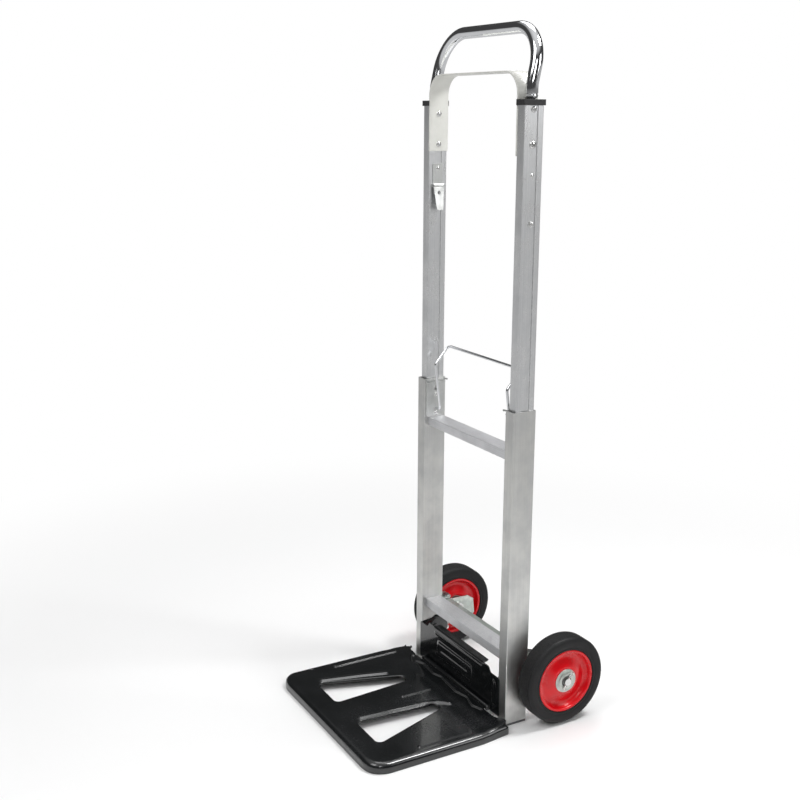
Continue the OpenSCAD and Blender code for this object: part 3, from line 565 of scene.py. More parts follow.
# Gives an open shell the thickness of its sheet, on the side that its faces turn to.
def thicken(shell, thickness):
    mesh = bpy.data.meshes.new("sheetWork")
    mesh.from_pydata([tuple(p) for p in shell[0]], [], shell[1])
    work = placeInScene("sheetWork", mesh)
    solid = work.modifiers.new("sheet", "SOLIDIFY")
    solid.thickness = thickness
    solid.offset = 1
    graph = bpy.context.evaluated_depsgraph_get()
    made = work.evaluated_get(graph).to_mesh()
    result = [v.co.copy() for v in made.vertices], [tuple(p.vertices) for p in made.polygons]
    bpy.data.objects.remove(work)
    return result


# Points on the curve that rounds a corner off; most is the largest share of a leg that it may take.
def cornerCurve(before, here, after, radius, most, stepsOf):
    back, forth = before - here, after - here
    reach = min(radius / math.tan(back.angle(forth) / 2), back.length * most, forth.length * most)
    first, last = here + back.normalized() * reach, here + forth.normalized() * reach
    steps = stepsOf(reach)
    shares = [k / steps for k in range(steps + 1)]
    return [first * (1 - t) ** 2 + here * 2 * t * (1 - t) + last * t ** 2 for t in shares]


# ---- pressed sheets ----

# Closed loop through corners of (across, along, radius), with points a step apart.
def roundedLoop(corners, step):
    def stepsOf(reach):
        return max(3, int(reach * 2 / step))

    loop = []
    spots = [Vector(corner[:2]) for corner in corners]
    for i, corner in enumerate(corners):
        after = spots[(i + 1) % len(spots)]
        loop += cornerCurve(spots[i - 1], spots[i], after, corner[2], 0.48, stepsOf)
    return evenLoop(loop, step)


def evenLoop(loop, step):
    lengths = [(loop[(i + 1) % len(loop)] - loop[i]).length for i in range(len(loop))]
    count = round(sum(lengths) / step)
    stride = sum(lengths) / count
    made, travelled, i = [], 0.0, 0
    for k in range(count):
        while travelled + lengths[i] < k * stride:
            travelled += lengths[i]
            i += 1
        share = (k * stride - travelled) / max(lengths[i], 1e-9)
        made.append(loop[i].lerp(loop[(i + 1) % len(loop)], share))
    return made


# Outline round a set of circles, as a stretched band would lie.
def bandLoop(circles, step):
    cloud = [Vector(p) for x, y, r in circles for p in arcPoints((x, y), r, 0, 352.5, 47)]
    return evenLoop([cloud[i] for i in convex_hull_2d(cloud)], step)


# Unit vectors that point from each point of a loop into the sheet.
def inwardOf(loop, solidInside):
    count = len(loop)
    area = sum(here.x * after.y - after.x * here.y for here, after in zip(loop, loop[1:] + loop[:1]))
    sign = (1 if area > 0 else -1) * (1 if solidInside else -1)
    result = []
    for i in range(count):
        ahead = (loop[(i + 1) % count] - loop[i - 1]).normalized()
        result.append(Vector((-ahead.y, ahead.x)) * sign)
    return result


def distanceTo(line, points):
    best = np.full(len(points), 1e9)
    for a, b in zip(line[:-1], line[1:]):
        a, b = np.array(a, float), np.array(b, float)
        share = np.clip(((points - a) @ (b - a)) / ((b - a) @ (b - a)), 0, 1)
        best = np.minimum(best, np.linalg.norm(points - (a + share[:, None] * (b - a)), axis=1))
    return best


def smoothStep(x):
    x = np.clip(x, 0, 1)
    return x * x * (3 - 2 * x)


# Beads from families of lines in millimetres that share a half width, a soft shoulder and a lift.
def beadsOf(families):
    beads = []
    for family in families:
        sizes = {key: family[key] * mm for key in ("half", "soft", "lift")}
        beads += [{"line": [(x * mm, y * mm) for x, y in line], **sizes} for line in family["lines"]]
    return beads


# Height that the pressed beads add at each point.
def beadLift(beads, points):
    lift = np.zeros(len(points))
    for bead in beads:
        away = distanceTo(bead["line"], points)
        rise = bead["lift"] * smoothStep((bead["half"] - away) / bead["soft"])
        lift = np.where(abs(rise) > abs(lift), rise, lift)
    return lift


# Points that follow a bead's shoulders, so that its edges come out crisp.
def beadPoints(beads, step):
    made = []
    for bead in beads:
        line = [Vector(p) for p in bead["line"]]
        for away in (bead["half"], bead["half"] - bead["soft"] / 2, bead["half"] - bead["soft"]):
            ring = []
            for a, b in zip(line[:-1], line[1:]):
                ahead = (b - a).normalized()
                across = Vector((-ahead.y, ahead.x)) * away
                count = max(2, int((b - a).length / step))
                for k in range(count + 1):
                    ring.extend(a.lerp(b, k / count) + across * s for s in (-1, 1))
            for end in (line[0], line[-1]):
                ring.extend(Vector(p) for p in arcPoints(end, away, 0, 345, 23))
            far = distanceTo(bead["line"], np.array([tuple(p) for p in ring]))
            made.extend(p for p, d in zip(ring, far) if d > away - 1e-6)
    return made


# Points inside a sheet: along the shoulders of its beads, and a grid of triangles between them.
def fillPoints(border, beads, outer, step):
    tree = flatTree(border)
    kept = [p for p in beadPoints(beads, step * 0.4) if tree.find((*p, 0))[2] > step * 0.4]
    low = [min(p[i] for p in outer) for i in (0, 1)]
    high = [max(p[i] for p in outer) for i in (0, 1)]
    tree = flatTree([*border, *kept])
    row = 0
    y = low[1]
    while y < high[1]:
        x = low[0] + (step / 2 if row % 2 else 0)
        while x < high[0]:
            if tree.find((x, y, 0))[2] > step * 0.55:
                kept.append(Vector((x, y)))
            x += step
        y += step * 0.866
        row += 1
    return kept


# A pressed sheet: flat inside its loops, lifted by its beads, and rolled over along every edge.
def pressedShell(outer, holes, beads, step, rollOf, place, base=None):
    rolls = []
    for loop, isOuter in [(outer, True)] + [(hole, False) for hole in holes]:
        inward = inwardOf(loop, isOuter)
        bends = [rollOf(p, isOuter) for p in loop]
        rolls.append((loop, inward, bends, [p + n * bend[0] for p, n, bend in zip(loop, inward, bends)]))
    border, edges = [], []
    for _, _, _, top in rolls:
        start = len(border)
        border.extend(top)
        edges.extend((start + i, start + (i + 1) % len(top)) for i in range(len(top)))

    def onSheet(p):
        return insideOf(p, rolls[0][3]) and not any(insideOf(p, roll[3]) for roll in rolls[1:])

    points = border + [p for p in fillPoints(border, beads, outer, step) if onSheet(p)]
    made, _, triangles, came, _, _ = delaunay_2d_cdt(points, edges, [], 0, 1e-7)
    spot = {old: new for new, olds in enumerate(came) for old in olds}
    faces = [t for t in triangles if onSheet((made[t[0]] + made[t[1]] + made[t[2]]) / 3)]
    spots = np.array([tuple(p) for p in made])
    heights = beadLift(beads, spots) + (base(spots) if base else 0)
    shell = [place(p[0], p[1], h) for p, h in zip(made, heights)]
    start = 0
    for loop, inward, bends, top in rolls:
        count = len(loop)
        ring = [spot[start + i] for i in range(count)]
        level = [heights[j] for j in ring]
        # five steps round the bend, then straight down to the edge
        for k in range(1, 7):
            turn = math.radians(18 * min(k, 5))
            fresh = []
            for i in range(count):
                radius, drop = bends[i]
                bent = math.copysign(radius, drop) * (1 - math.cos(turn))
                spread = loop[i] + inward[i] * radius * (1 - math.sin(turn))
                fresh.append(len(shell))
                shell.append(place(spread.x, spread.y, level[i] - (drop if k == 6 else bent)))
            for i in range(count):
                n = (i + 1) % count
                faces.append((ring[i], ring[n], fresh[n], fresh[i]))
            ring = fresh
        start += count
    return [Vector(p) for p in shell], [tuple(f) for f in faces]


def flatTree(points):
    tree = KDTree(len(points))
    for i, p in enumerate(points):
        tree.insert((p[0], p[1], 0), i)
    tree.balance()
    return tree


def insideOf(p, loop):
    inside = False
    before = loop[-1]
    for here in loop:
        if (here.y > p.y) != (before.y > p.y):
            if p.x < (before.x - here.x) * (p.y - here.y) / (before.y - here.y) + here.x:
                inside = not inside
        before = here
    return inside


# ---- toe plate ----

toePlate = {
    "edgeRound": 9 * mm, "rimDrop": 16.5 * mm, "cornerRound": 38 * mm, "thickness": 1.8 * mm,
    "step": 2.6 * mm, "windowRound": 2.4 * mm, "windowDrop": 4 * mm, "rollRadius": 4.2 * mm,
    "earRise": 3.6 * mm, "windowCircles": ((46, 210, 8.5), (101, 210, 8.5), (57, 84, 10.5)),
}
toeBeads = (
    {"half": 4.8, "soft": 2.2, "lift": 2.1,
     "lines": (((-153, 42), (-153, 162)), ((153, 72), (153, 166)), ((0, 58), (0, 110)))},
    {"half": 6.5, "soft": 4, "lift": 2.1,
     "lines": (((-118, 206), (-101, 138), (-88, 96)),
               ((28, 206), (33, 140), (38, 92), (46, 68), (58, 54)))},
    {"half": 5, "soft": 3, "lift": -1.6,
     "lines": (((-118, 22), (-102, 30), (-84, 23), (-44, 27), (-26, 21),
                (0, 24), (30, 27), (56, 21), (84, 29), (104, 22)),)},
)


def toePlateShell(setup):
    low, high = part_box("toe_plate")
    half, reach = high.x, railFront - low.y
    top = toePlateTop
    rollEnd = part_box("toe_hinge_pin")[1].x - 4.5 * mm
    rollFront = railFront - hingeLine.y + setup["rollRadius"] - 0.6 * mm
    side = [(half, reach, setup["cornerRound"]), (half, 60 * mm, 40 * mm), (half - 6 * mm, 6 * mm, 5 * mm),
            (150 * mm, 7 * mm, 3 * mm), (146 * mm, 14 * mm, 3 * mm), (rollEnd, 14 * mm, 2 * mm),
            (rollEnd, rollFront, 1 * mm)]
    outer = roundedLoop(side + [(-x, v, r) for x, v, r in reversed(side)], setup["step"])
    window = [(x * mm, v * mm, r * mm) for x, v, r in setup["windowCircles"]]
    holes = [bandLoop([(s * x, v, r) for x, v, r in window], setup["step"]) for s in (-1, 1)]

    def rollOf(p, isOuter):
        if not isOuter:
            return setup["windowRound"], setup["windowDrop"]
        full = float(smoothStep((max(abs(p.x) - 158 * mm, p.y - 20 * mm) + 4 * mm) / (8 * mm)))
        ear = float(smoothStep((abs(p.x) - 104 * mm) / (46 * mm))) ** 2 * (1 - full) * (p.y < 30 * mm)
        drop = setup["rimDrop"] * max(full, 0.12) - setup["earRise"] * ear
        return min(setup["edgeRound"], max(abs(drop) * 0.6, 1.2 * mm)), drop

    def crown(spots):
        dish = smoothStep((reach - 16 * mm - spots[:, 1]) / (24 * mm))
        return -1.2 * mm * dish * smoothStep((spots[:, 1] - 30 * mm) / (20 * mm))

    sheet = pressedShell(outer, holes, beadsOf(toeBeads), setup["step"], rollOf,
                         lambda x, v, h: (x, railFront - v, top + h), crown)
    sheet = thicken(sheet, setup["thickness"])
    line = (hingeLine.y, hingeLine.z)
    outerRoll = arcPoints(line, setup["rollRadius"], 188, 520, 40)
    innerRoll = arcPoints(line, setup["rollRadius"] - 1.6 * mm, 520, 188, 40)
    return joinShells(sheet, barShell(outerRoll + innerRoll, -rollEnd, rollEnd, 0.0002))


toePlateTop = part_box("toe_plate")[0].z + toePlate["rimDrop"]
addPiece("toePlatePressing", toePlateShell(toePlate), "toe_plate", "blackEnamel", "toe_plate")
print("toe plate pressed")


# ---- back plate ----

backPlate = {
    "thickness": 1.5 * mm, "foot": 10 * mm, "shoulder": 79 * mm, "top": 88 * mm, "raisedHalf": 96 * mm,
    "lipHalf": 82 * mm, "lipDrop": 13.5 * mm, "lipRound": 4 * mm, "step": 2.6 * mm,
}
backBeads = (
    {"half": 8, "soft": 3, "lift": 2, "lines": (((-40, 58), (60, 58), (60, 44), (-40, 44), (-40, 58)),)},
    {"half": 5, "soft": 3, "lift": 1.6, "lines": (((-112, 30), (-112, 66)),)},
    {"half": 3, "soft": 2.5, "lift": 0.9, "lines": (((-74, 78), (74, 78)),)},
)


def backPlateShell(setup):
    half = railIn + 5 * mm
    raised, shoulder, top, foot = setup["raisedHalf"], setup["shoulder"], setup["top"], setup["foot"]
    side = [(half, foot, 2 * mm), (half, shoulder, 5 * mm),
            (raised + 6 * mm, shoulder, 3 * mm), (raised, top, 6 * mm)]
    outer = roundedLoop([(-x, z, r) for x, z, r in side] + side[::-1], setup["step"])

    def rollOf(p, isOuter):
        lip = float(smoothStep((setup["lipHalf"] - abs(p.x)) / (6 * mm))) * (p.y > shoulder + 4 * mm)
        return max(setup["lipRound"] * lip, 0.8 * mm), max(setup["lipDrop"] * lip, 0.9 * mm)

    sheet = pressedShell(outer, [], beadsOf(backBeads), setup["step"], rollOf,
                         lambda x, z, h: (-x, railFront - setup["thickness"] - h, z))
    sheet = thicken(sheet, setup["thickness"])
    lug = [(0.2, 22), (0.2, 80), (20, 82)] + arcPoints((28, 78), 8, 100, 50, 5)
    lug += arcPoints((40, 61), 14, 55, -60, 9) + [(30, 28), (20, 22)]
    lug = [(railFront + y * mm, z * mm) for y, z in lug]
    lugPlate = barShell(lug, railIn - setup["thickness"], railIn, 0.0005)
    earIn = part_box("toe_hinge_pin")[1].x - 4 * mm
    ear = arcPoints((hingeLine.y, hingeLine.z), 5 * mm, 90, 270, 12)
    ear += [(railFront, hingeLine.z - 5 * mm), (railFront, hingeLine.z + 5 * mm)]
    earPlate = barShell(ear, earIn, earIn + 2.5 * mm, 0.0004)
    both = [lugPlate, mirrorShell(lugPlate), earPlate, mirrorShell(earPlate)]
    return joinShells(sheet, *both)


addPiece("backPlatePressing", backPlateShell(backPlate), "lower_frame", "blackEnamel", "back_plate")
print("back plate pressed")


# ---- handle, strap and bail ----

handleTube = {
    "radius": 9.3 * mm, "neckRadius": 5 * mm, "neckLength": 86 * mm, "crimpDepth": 0.7 * mm, "lean": 12,
    "leanRound": 60 * mm, "leanStart": 22.5 * mm, "cornerRound": 60 * mm, "sides": 36,
}


def handleShell(setup):
    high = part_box("handle")[1]
    radius, leanRound, cornerRound = (setup[k] for k in ("radius", "leanRound", "cornerRound"))
    legX = high.x - radius
    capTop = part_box("rail_cap_right")[1].z
    lean = math.radians(setup["lean"])
    bendZ = upperTop + setup["leanStart"]
    rise = (high.z - radius - bendZ - leanRound * math.sin(lean)) / math.cos(lean)
    crimped = radius - setup["crimpDepth"]
    # the straight leg as (height, radius)
    leg = [(upperTop - setup["neckLength"], setup["neckRadius"]), (capTop + 0.3 * mm, setup["neckRadius"]),
           (capTop + 2 * mm, radius * 0.82), (capTop + 4 * mm, radius), (capTop + 5.5 * mm, radius),
           (capTop + 6.3 * mm, crimped), (capTop + 7.7 * mm, crimped),
           (capTop + 8.5 * mm, radius), (bendZ, radius)]
    path = [Vector((legX, upperY, z)) for z, _ in leg]
    radii = [r for _, r in leg]
    for i in range(1, 7):
        a = lean * i / 6
        path.append(Vector((legX, upperY + leanRound * (1 - math.cos(a)), bendZ + leanRound * math.sin(a))))
    up = Vector((0, math.sin(lean), math.cos(lean)))
    start = path[-1]
    straight = rise - cornerRound
    for i in range(25):
        a = math.radians(90 * i / 24)
        inward = cornerRound * (1 - math.cos(a))
        path.append(start + up * (straight + cornerRound * math.sin(a)) - Vector((inward, 0, 0)))
    middle = path[-1]
    path.append(Vector((middle.x * 0.5, middle.y, middle.z)))
    radii += [radius] * (len(path) - len(radii))
    path += [Vector((-p.x, p.y, p.z)) for p in reversed(path)]
    radii += list(reversed(radii))
    return tubeShell(path, radii, setup["sides"])


addPiece("handleTube", handleShell(handleTube), "upper_frame", "polishedChrome", "handle")

strapBand = {"thickness": 2.5 * mm, "cornerRound": 33.2 * mm, "edge": 0.7 * mm}


def strapShell(setup):
    low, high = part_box("strap_bracket")
    half, width = high.x - setup["thickness"] / 2, high.y - low.y
    top = high.z - setup["thickness"] / 2
    turnX, turnZ = half - setup["cornerRound"], top - setup["cornerRound"]
    path = [(half, low.z), (half, low.z + 10 * mm)]
    path += arcPoints((turnX, turnZ), setup["cornerRound"], 0, 90, 20)
    path += [(-x, z) for x, z in reversed(path)]
    edge, t, w = setup["edge"], setup["thickness"] / 2, width / 2
    section = []
    for cx, cy, a0 in ((w, t, 0), (-w, t, 90), (-w, -t, 180), (w, -t, 270)):
        x, y = cx - math.copysign(edge, cx), cy - math.copysign(edge, cy)
        section += arcPoints((x, y), edge, a0, a0 + 90, 3)
    points = []
    for i, here in enumerate(path):
        before, after = path[max(i - 1, 0)], path[min(i + 1, len(path) - 1)]
        ahead = Vector((after[0] - before[0], 0, after[1] - before[1])).normalized()
        out = Vector((ahead.z, 0, -ahead.x))
        middle = Vector((here[0], upperY, here[1]))
        points.extend(middle + Vector((0, a, 0)) + out * b for a, b in section)
    return points, ringFaces(len(path), len(section))


addPiece("strapBand", strapShell(strapBand), "upper_frame", "whiteEnamel", "strap_bracket")

bailWire = {
    "radius": 2.3 * mm, "cornerRound": 9 * mm, "armInset": 15 * mm,
    "bendBack": 12 * mm, "bendRise": 81 * mm, "topBack": 38 * mm,
}


def bentPath(corners, radius):
    corners = [Vector(corner) for corner in corners]
    path = [corners[0]]
    for before, here, after in zip(corners[:-2], corners[1:-1], corners[2:]):
        path += cornerCurve(before, here, after, radius, 0.45, lambda reach: 8)
    return path + [corners[-1]]


def bailShell(setup):
    low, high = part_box("release_bail")
    armX = railIn - setup["armInset"]
    pivotZ = low.z + setup["radius"]
    bendY, bendZ = railFront + setup["bendBack"], pivotZ + setup["bendRise"]
    topY, topZ = railFront + setup["topBack"], high.z - setup["radius"]
    right = [(high.x, upperY, pivotZ), (armX, upperY, pivotZ), (armX, bendY, bendZ), (armX, topY, topZ)]
    corners = right + [(-x, y, z) for x, y, z in reversed(right)]
    return tubeShell(bentPath(corners, setup["cornerRound"]), setup["radius"])


addPiece("bailWire", bailShell(bailWire), "release_bail", "polishedChrome", "release_bail")
print("handle, strap and bail made")


# ---- wheels ----

tyreRubber = {"ribs": 9, "ribPitch": 2.3 * mm, "ribDepth": 0.7 * mm, "shoulder": 7 * mm, "bulge": 0.6 * mm,
              "steps": 144}


def tyreOutline(setup):
    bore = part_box("rim_outer_right")[1].z - wheelMid.z - 3.6 * mm + 0.05 * mm
    half, radius, shoulder = wheelHalf, wheelRadius, setup["shoulder"]
    side = [(bore, half - 2.6 * mm), (bore + 4 * mm, half - 2.6 * mm), (bore + 4.6 * mm, half - 1.0 * mm),
            (bore + 5.6 * mm, half - 0.4 * mm), (bore + 7 * mm, half - 0.5 * mm),
            (bore + 8 * mm, half - 1.0 * mm), (bore + 9 * mm, half - 0.5 * mm),
            (bore + 13 * mm, half), (bore + 17 * mm, half - 0.1 * mm)]
    side += [(r, h) for r, h in arcPoints((radius - shoulder, half - shoulder), shoulder, 78, 12, 9)]
    reach = setup["ribs"] * setup["ribPitch"] / 2
    count = setup["ribs"] * 8
    tread = []
    for i in range(count + 1):
        h = reach - 2 * reach * i / count
        groove = max(0.0, -math.cos(2 * math.pi * h / setup["ribPitch"])) ** 0.7
        tread.append((radius - setup["ribDepth"] * groove, h))
    return side + tread + [(r, -h) for r, h in reversed(side)]


rimPress = {"thickness": 1.3 * mm, "hubHeight": 13.8, "steps": 128}


# Face of one pressed rim half, from its rolled lip to the hub, drawn in millimetres past the tyre's bore.
def rimFace(bore, lip, hubHeight):
    drawn = [(3.4, lip + 0.2), (3.5, lip + 1.0), (2.4, lip + 1.5), (0.4, lip + 1.35), (-1.2, lip + 0.4),
             (-2.4, lip - 3.6), (-3.8, 9.6), (-6.4, 7.7), (-10.4, 7.5), (-14.0, 8.6), (-19.0, 10.6),
             (-24.4, 12.9), (-27.4, hubHeight), (-33.0, hubHeight), (-40.9, hubHeight)]
    face = [Vector((bore + r * mm, h * mm)) for r, h in drawn]
    for _ in range(2):
        cut = [face[0]]
        for a, b in zip(face[:-1], face[1:]):
            cut += [a.lerp(b, 0.25), a.lerp(b, 0.75)]
        face = cut + [face[-1]]
    return face


def rimOutline(setup, side):
    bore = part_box("rim_outer_right")[1].z - wheelMid.z - 3.6 * mm
    lip = wheelHalf / mm - 2.5
    face = rimFace(bore, lip, setup["hubHeight"])
    back = []
    for i, p in enumerate(face):
        ahead = (face[min(i + 1, len(face) - 1)] - face[max(i - 1, 0)]).normalized()
        back.append(p + Vector((-ahead.y, ahead.x)) * setup["thickness"])
    inner = [p for p in back if p.x < bore - 3.0 * mm]
    outline = [(p.x, p.y) for p in face] + [(p.x, p.y) for p in reversed(inner)]
    outline += [(bore - 1.4 * mm, 9 * mm), (bore - 1.4 * mm, 0.1 * mm), (bore - 0.05 * mm, 0.1 * mm),
                (bore - 0.05 * mm, (lip - 0.4) * mm), (bore + 3.4 * mm, (lip - 0.2) * mm)]
    return [(r, h * side) for r, h in outline]


hubTurned = {"bore": 6.06 * mm, "barrel": 9 * mm, "disc": 20 * mm, "steps": 96}


def hubOutline(setup):
    bore, barrel, disc = setup["bore"], setup["barrel"], setup["disc"]
    face = wheelHalf - 2.4 * mm
    end = [(disc - 0.3 * mm, face - 1.2 * mm), (disc, face - 0.9 * mm), (disc, face - 0.3 * mm),
           (disc - 0.3 * mm, face), (disc - 2.6 * mm, face), (disc - 3.2 * mm, face - 0.35 * mm),
           (disc - 4.6 * mm, face - 0.35 * mm), (disc - 5.2 * mm, face), (bore + 3.6 * mm, face),
           (bore + 3.2 * mm, face - 0.7 * mm), (bore + 0.4 * mm, face - 0.7 * mm), (bore, face - 0.9 * mm)]
    inner = [(barrel, -face + 1.2 * mm), (disc, -face + 1.2 * mm), (disc, -face), (barrel, -face),
             (barrel, -wheelHalf), (bore, -wheelHalf)]
    return [(barrel, face - 1.2 * mm)] + end + list(reversed(inner))


washerRing = {"radius": 14 * mm, "thickness": 1.6 * mm, "bore": 6.1 * mm}


# Outer washer, slightly dished, with a dark seal ring on it.
def washerShells(side, setup):
    face = wheelMid.x + wheelHalf - 2.4 * mm + 0.3 * mm
    centre = Vector((side * face, wheelMid.y, wheelMid.z))
    r, t, b = setup["radius"], setup["thickness"], setup["bore"]
    dished = [(b, 0.3 * mm), (r - 1.5 * mm, 0), (r - 0.3 * mm, 0), (r, 0.3 * mm), (r, t * 0.7),
              (r - 0.4 * mm, t * 0.85), (r - 3 * mm, t), (b + 0.5 * mm, t), (b, t - 0.3 * mm)]
    seal = [(b + 0.6 * mm, t * 0.6), (b + 3.1 * mm, t * 0.6), (b + 3.1 * mm, t + 0.5 * mm),
            (b + 2.7 * mm, t + 0.8 * mm), (b + 1.0 * mm, t + 0.8 * mm), (b + 0.6 * mm, t + 0.5 * mm)]
    armFace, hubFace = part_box("axle_washers_right")[0].x, wheelMid.x - wheelHalf - 0.3 * mm
    long = hubFace - armFace
    spacer = [(b, 0.2 * mm), (b + 5.6 * mm, 0.2 * mm), (b + 5.9 * mm, 0.6 * mm),
              (b + 5.9 * mm, long - 0.6 * mm), (b + 5.6 * mm, long), (b, long)]
    inner = turnShell(spacer, (side * armFace, wheelMid.y, wheelMid.z), (side, 0, 0))
    return joinShells(turnShell(dished, centre, (side, 0, 0)), inner), turnShell(seal, centre, (side, 0, 0))


splitPin = {"tilt": 35, "wire": 0.8 * mm, "eye": 3.2 * mm, "reach": 13 * mm}


def splitPinShell(side, setup):
    middle = Vector((side * (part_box("axle_right")[1].x - 2.2 * mm), wheelMid.y, wheelMid.z))
    tilt = math.radians(setup["tilt"])
    up = Vector((0, math.sin(tilt), math.cos(tilt)))
    out = Vector((side, 0, 0))
    w, r, reach = setup["wire"], setup["eye"], setup["reach"]
    # the wire as (distance along the pin, distance out from its middle)
    first = [(-(reach + 1.5 * mm), 4.2 * mm), (-(reach - 2 * mm), 1.8 * mm), (-7 * mm, w * 0.92),
             (reach - 2.2 * mm, w * 0.92)]
    eye = [(reach + 1.8 * mm + r * math.sin(math.radians(a)), r * math.cos(math.radians(a)))
           for a in range(-48, 229, 12)]
    second = [(reach - 2.2 * mm, -w * 0.92), (-7 * mm, -w * 0.92), (-(reach + 0.5 * mm), -1.6 * mm)]
    return tubeShell([middle + up * along + out * aside for along, aside in first + eye + second], w, 12)


foldSpring = {"wire": 1 * mm, "radius": 5.5 * mm, "turns": 9, "perTurn": 28}


def springShell(side, setup):
    low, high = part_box("fold_spring_right")
    x, y = (low.x + high.x) / 2, (low.y + high.y) / 2
    bottom, top = low.z + setup["wire"], high.z - setup["wire"]
    count = setup["turns"] * setup["perTurn"]
    path = []
    for i in range(count + 1):
        a = 2 * math.pi * i / setup["perTurn"] * side
        path.append(Vector((side * x + setup["radius"] * math.cos(a), y + setup["radius"] * math.sin(a),
                            bottom + (top - bottom) * i / count)))
    return tubeShell(path, setup["wire"], 12)


for name, side in (("left", -1), ("right", 1)):
    axle = Vector((side * wheelMid.x, wheelMid.y, wheelMid.z))
    across = (side, 0, 0)
    wheel, arm = "wheel_" + name, "wheel_arm_" + name
    tyre = turnShell(tyreOutline(tyreRubber), axle, across, tyreRubber["steps"])
    addPiece("tyre_" + name + "_ribbed", tyre, wheel, "tyreRubber", "tyre_" + name)
    for half, flip in (("outer", 1), ("inner", -1)):
        rim = turnShell(rimOutline(rimPress, flip), axle, across, rimPress["steps"])
        addPiece("rim_" + half + "_" + name + "_pressed", rim, wheel, "redEnamel",
                 "rim_" + half + "_" + name)
    hub = turnShell(hubOutline(hubTurned), axle, across, hubTurned["steps"])
    addPiece("hub_" + name + "_turned", hub, wheel, "zincPlate", "hub_" + name)
    washers, seal = washerShells(side, washerRing)
    addPiece("washers_" + name + "_dished", washers, arm, "zincPlate", "axle_washers_" + name)
    addPiece("washer_" + name + "_seal", seal, arm, "darkSteel", slot="black_plastic")
    addPiece("split_pin_" + name, splitPinShell(side, splitPin), arm, "brightSteel",
             "cotter_pin_" + name)
    addPiece("fold_spring_" + name + "_coil", springShell(side, foldSpring), arm, "brightSteel",
             "fold_spring_" + name)
print("wheels made")


# ---- rivets and screws ----

screwRecess = {"arm": 0.34, "length": 1.7, "width": 0.28, "depth": 0.3, "lift": 1.02}


# Domed head on the face at place, looking along facing; the shank goes back the other way.
def rivetShell(place, facing, radius, height, shank, shankRadius):
    dome = [(radius * math.cos(math.radians(a)), height * (0.18 + 0.82 * math.sin(math.radians(a))))
            for a in (0, 20, 40, 58, 72, 82)]
    outline = [(0, -shank), (shankRadius, -shank), (shankRadius, 0), (radius * 0.97, 0), *dome, (0, height)]
    return turnShell(outline, place, facing, 32)


# Pan head, and boxes set into it where its cross recess is; the boxes are drawn dark as painted shade for
# the recess.
def screwShell(place, facing, radius, height, shank, shankRadius, setup):
    head = rivetShell(place, facing, radius, height, shank, shankRadius)
    facing = Vector(facing).normalized()
    arm = radius * setup["arm"]
    across = facing.orthogonal().normalized()
    other = facing.cross(across)
    slots = []
    for a, b in ((across, other), (other, across)):
        top = Vector(place) + facing * height * setup["lift"]
        corners = [top + a * (s * arm * setup["length"]) + b * (t * arm * setup["width"])
                   for s, t in ((-1, -1), (1, -1), (1, 1), (-1, 1))]
        floor = [c - facing * height * setup["depth"] for c in corners]
        walls = [(k, k + 4, (k + 1) % 4 + 4, (k + 1) % 4) for k in range(4)]
        slots.append((corners + floor, [(0, 1, 2, 3), (7, 6, 5, 4), *walls]))
    return head, joinShells(*slots)


# Rivet heads in millimetres: radius, height, length of the shank, radius of the shank.
rivetHeads = {
    "strap": (4.6, 2.1, 5.6, 2.4), "hookInside": (3.6, 1.5, 16, 1.9), "hookOutside": (3.0, 1.3, 1, 1.9),
    "latch": (3.6, 1.5, 3.8, 1.9), "backPlate": (4.3, 1.7, 5.8, 2.4),
}


def rivetAt(kind, x, z, way, y=upperY):
    return rivetShell((x, y, z), (way, 0, 0), *(size * mm for size in rivetHeads[kind]))


def pairShell(shells):
    return joinShells(*shells, *[mirrorShell(s) for s in shells])


grooveFloor = upperOut - 1.2 * mm
screwSpots = {"upper": (upperTop - 5.5 * mm, 4.4 * mm), "lower": (upperTop - 56 * mm, 5.6 * mm)}
screws = [screwShell((grooveFloor, upperY, z), (1, 0, 0), r, 3.0 * mm, 9 * mm, 1.9 * mm, screwRecess)
          for z, r in screwSpots.values()]
addPiece("handleScrewHeads", pairShell([s[0] for s in screws]), "upper_frame", "brightSteel",
         "handle_screws")
# the recess boxes take the dark finish: painted shade in the cross recesses of bright steel screws
addPiece("handleScrewSlots", pairShell([s[1] for s in screws]), "upper_frame", "darkSteel",
         slot="bright_steel")

strapFace = upperIn - strapBand["thickness"]
strapRivets = [rivetAt("strap", strapFace, z, -1) for z in (upperTop - 12.5 * mm, upperTop - 61 * mm)]
addPiece("strapRivetHeads", pairShell(strapRivets), "upper_frame", "brightSteel", "strap_rivets")

hookZ = sum(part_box("hook_rivets"), Vector()).z / 2
hookRivets = [rivetAt("hookInside", upperIn - 1.2 * mm, hookZ, -1),
              rivetAt("hookOutside", grooveFloor, hookZ, 1)]
addPiece("hookRivetHeads", pairShell(hookRivets), "upper_frame", "brightSteel", "hook_rivets")

stopZ = sum(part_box("stop_pins"), Vector()).z / 2
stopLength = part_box("stop_pins")[1].x - grooveFloor
stopOutline = [(0, -4 * mm), (2.9 * mm, -4 * mm), (2.9 * mm, 0), (4.5 * mm, 0), (4.5 * mm, 1.5 * mm),
               (4.0 * mm, 1.8 * mm), (2.95 * mm, 1.8 * mm), (2.95 * mm, stopLength - 0.6 * mm),
               (2.4 * mm, stopLength), (0, stopLength)]
stopPin = turnShell(stopOutline, (grooveFloor, upperY, stopZ), (1, 0, 0), 32)
addPiece("stopPins", pairShell([stopPin]), "upper_frame", "brightSteel", "stop_pins")

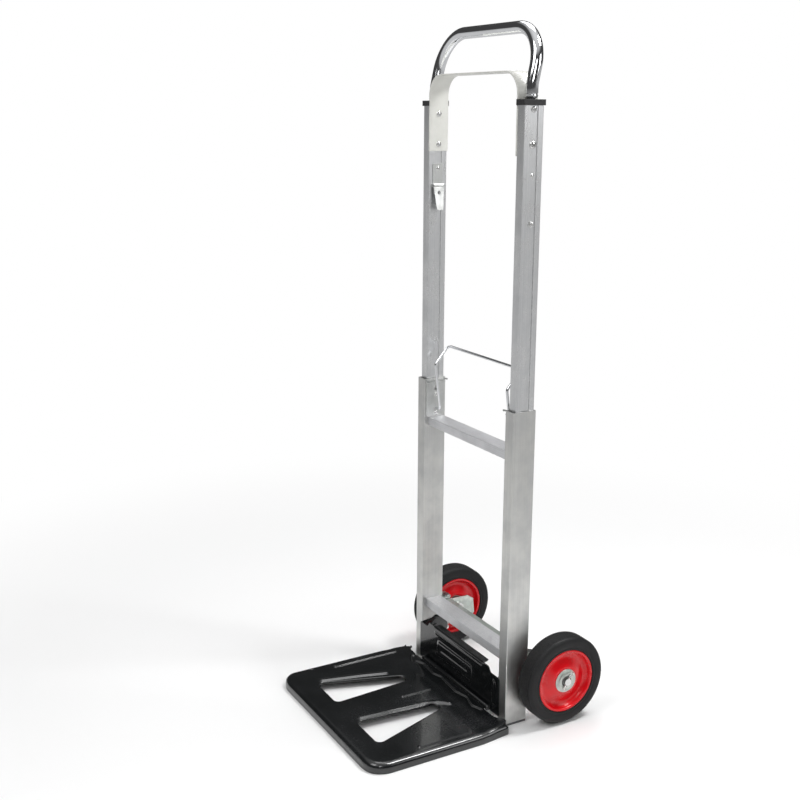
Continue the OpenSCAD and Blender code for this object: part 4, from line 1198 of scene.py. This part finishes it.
latchLow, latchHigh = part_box("latch_rivets")
plateFace = railIn - 1.5 * mm
latchRivets = [rivetAt("latch", plateFace, z, -1) for z in (latchLow.z + 3.5 * mm, latchHigh.z - 3.5 * mm)]
addPiece("latchRivetHeads", pairShell(latchRivets), "lower_frame", "brightSteel", "latch_rivets")

plateLow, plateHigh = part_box("back_plate_rivets")
plateRivets = [rivetAt("backPlate", plateFace, z, -1, (plateLow.y + plateHigh.y) / 2)
               for z in (plateLow.z + 4.25 * mm, plateHigh.z - 4.25 * mm)]
addPiece("backPlateRivetHeads", pairShell(plateRivets), "lower_frame", "blackEnamel",
         "back_plate_rivets")
print("rivets and screws made")


# ---- finishes of the frame's own pieces ----

nodeFinishes = {
    "lowerAluminium": ["lower_rail_left", "lower_rail_right"],
    "crossbarAluminium": ["middle_crossbar", "lower_crossbar"],
    "upperAluminium": ["upper_rail_left", "upper_rail_right"],
    "greyPlastic": ["foot_plug_left", "foot_plug_right", "rail_guide_left", "rail_guide_right",
                    "rail_glide_left", "rail_glide_right"],
    "blackPlastic": ["rail_cap_left", "rail_cap_right"],
    "latchSheet": ["latch_plate_left", "latch_plate_right", "catch_hook_left", "catch_hook_right"],
    "zincPlate": ["wheel_beam", "swing_bracket_left", "swing_bracket_right"],
    "brightSteel": ["crossbar_screws", "toe_hinge_pin", "beam_rivets", "swing_pin_left", "swing_pin_right",
                    "lock_button_left", "lock_button_right", "axle_left", "axle_right"],
}
softEdges = {"rail_cap": 1.2, "foot_plug": 0.5, "swing_bracket": 0.5, "latch_plate": 0.3}


# Rounds a node's hard edges with modifiers; its own mesh stays as it is.
def softenEdges(name, width):
    cad = nodes[name]
    weld = cad.modifiers.new("weld", "WELD")
    weld.merge_threshold = 1e-5
    bevel = cad.modifiers.new("softEdge", "BEVEL")
    bevel.width = width * mm
    bevel.segments = 3
    bevel.limit_method = "ANGLE"
    bevel.angle_limit = math.radians(50)


for finish, names in nodeFinishes.items():
    for name in names:
        for spot in nodes[name].material_slots:
            spot.material = finishes[finish]
for name, width in softEdges.items():
    for side in ("left", "right"):
        softenEdges(name + "_" + side, width)
print("frame pieces finished")
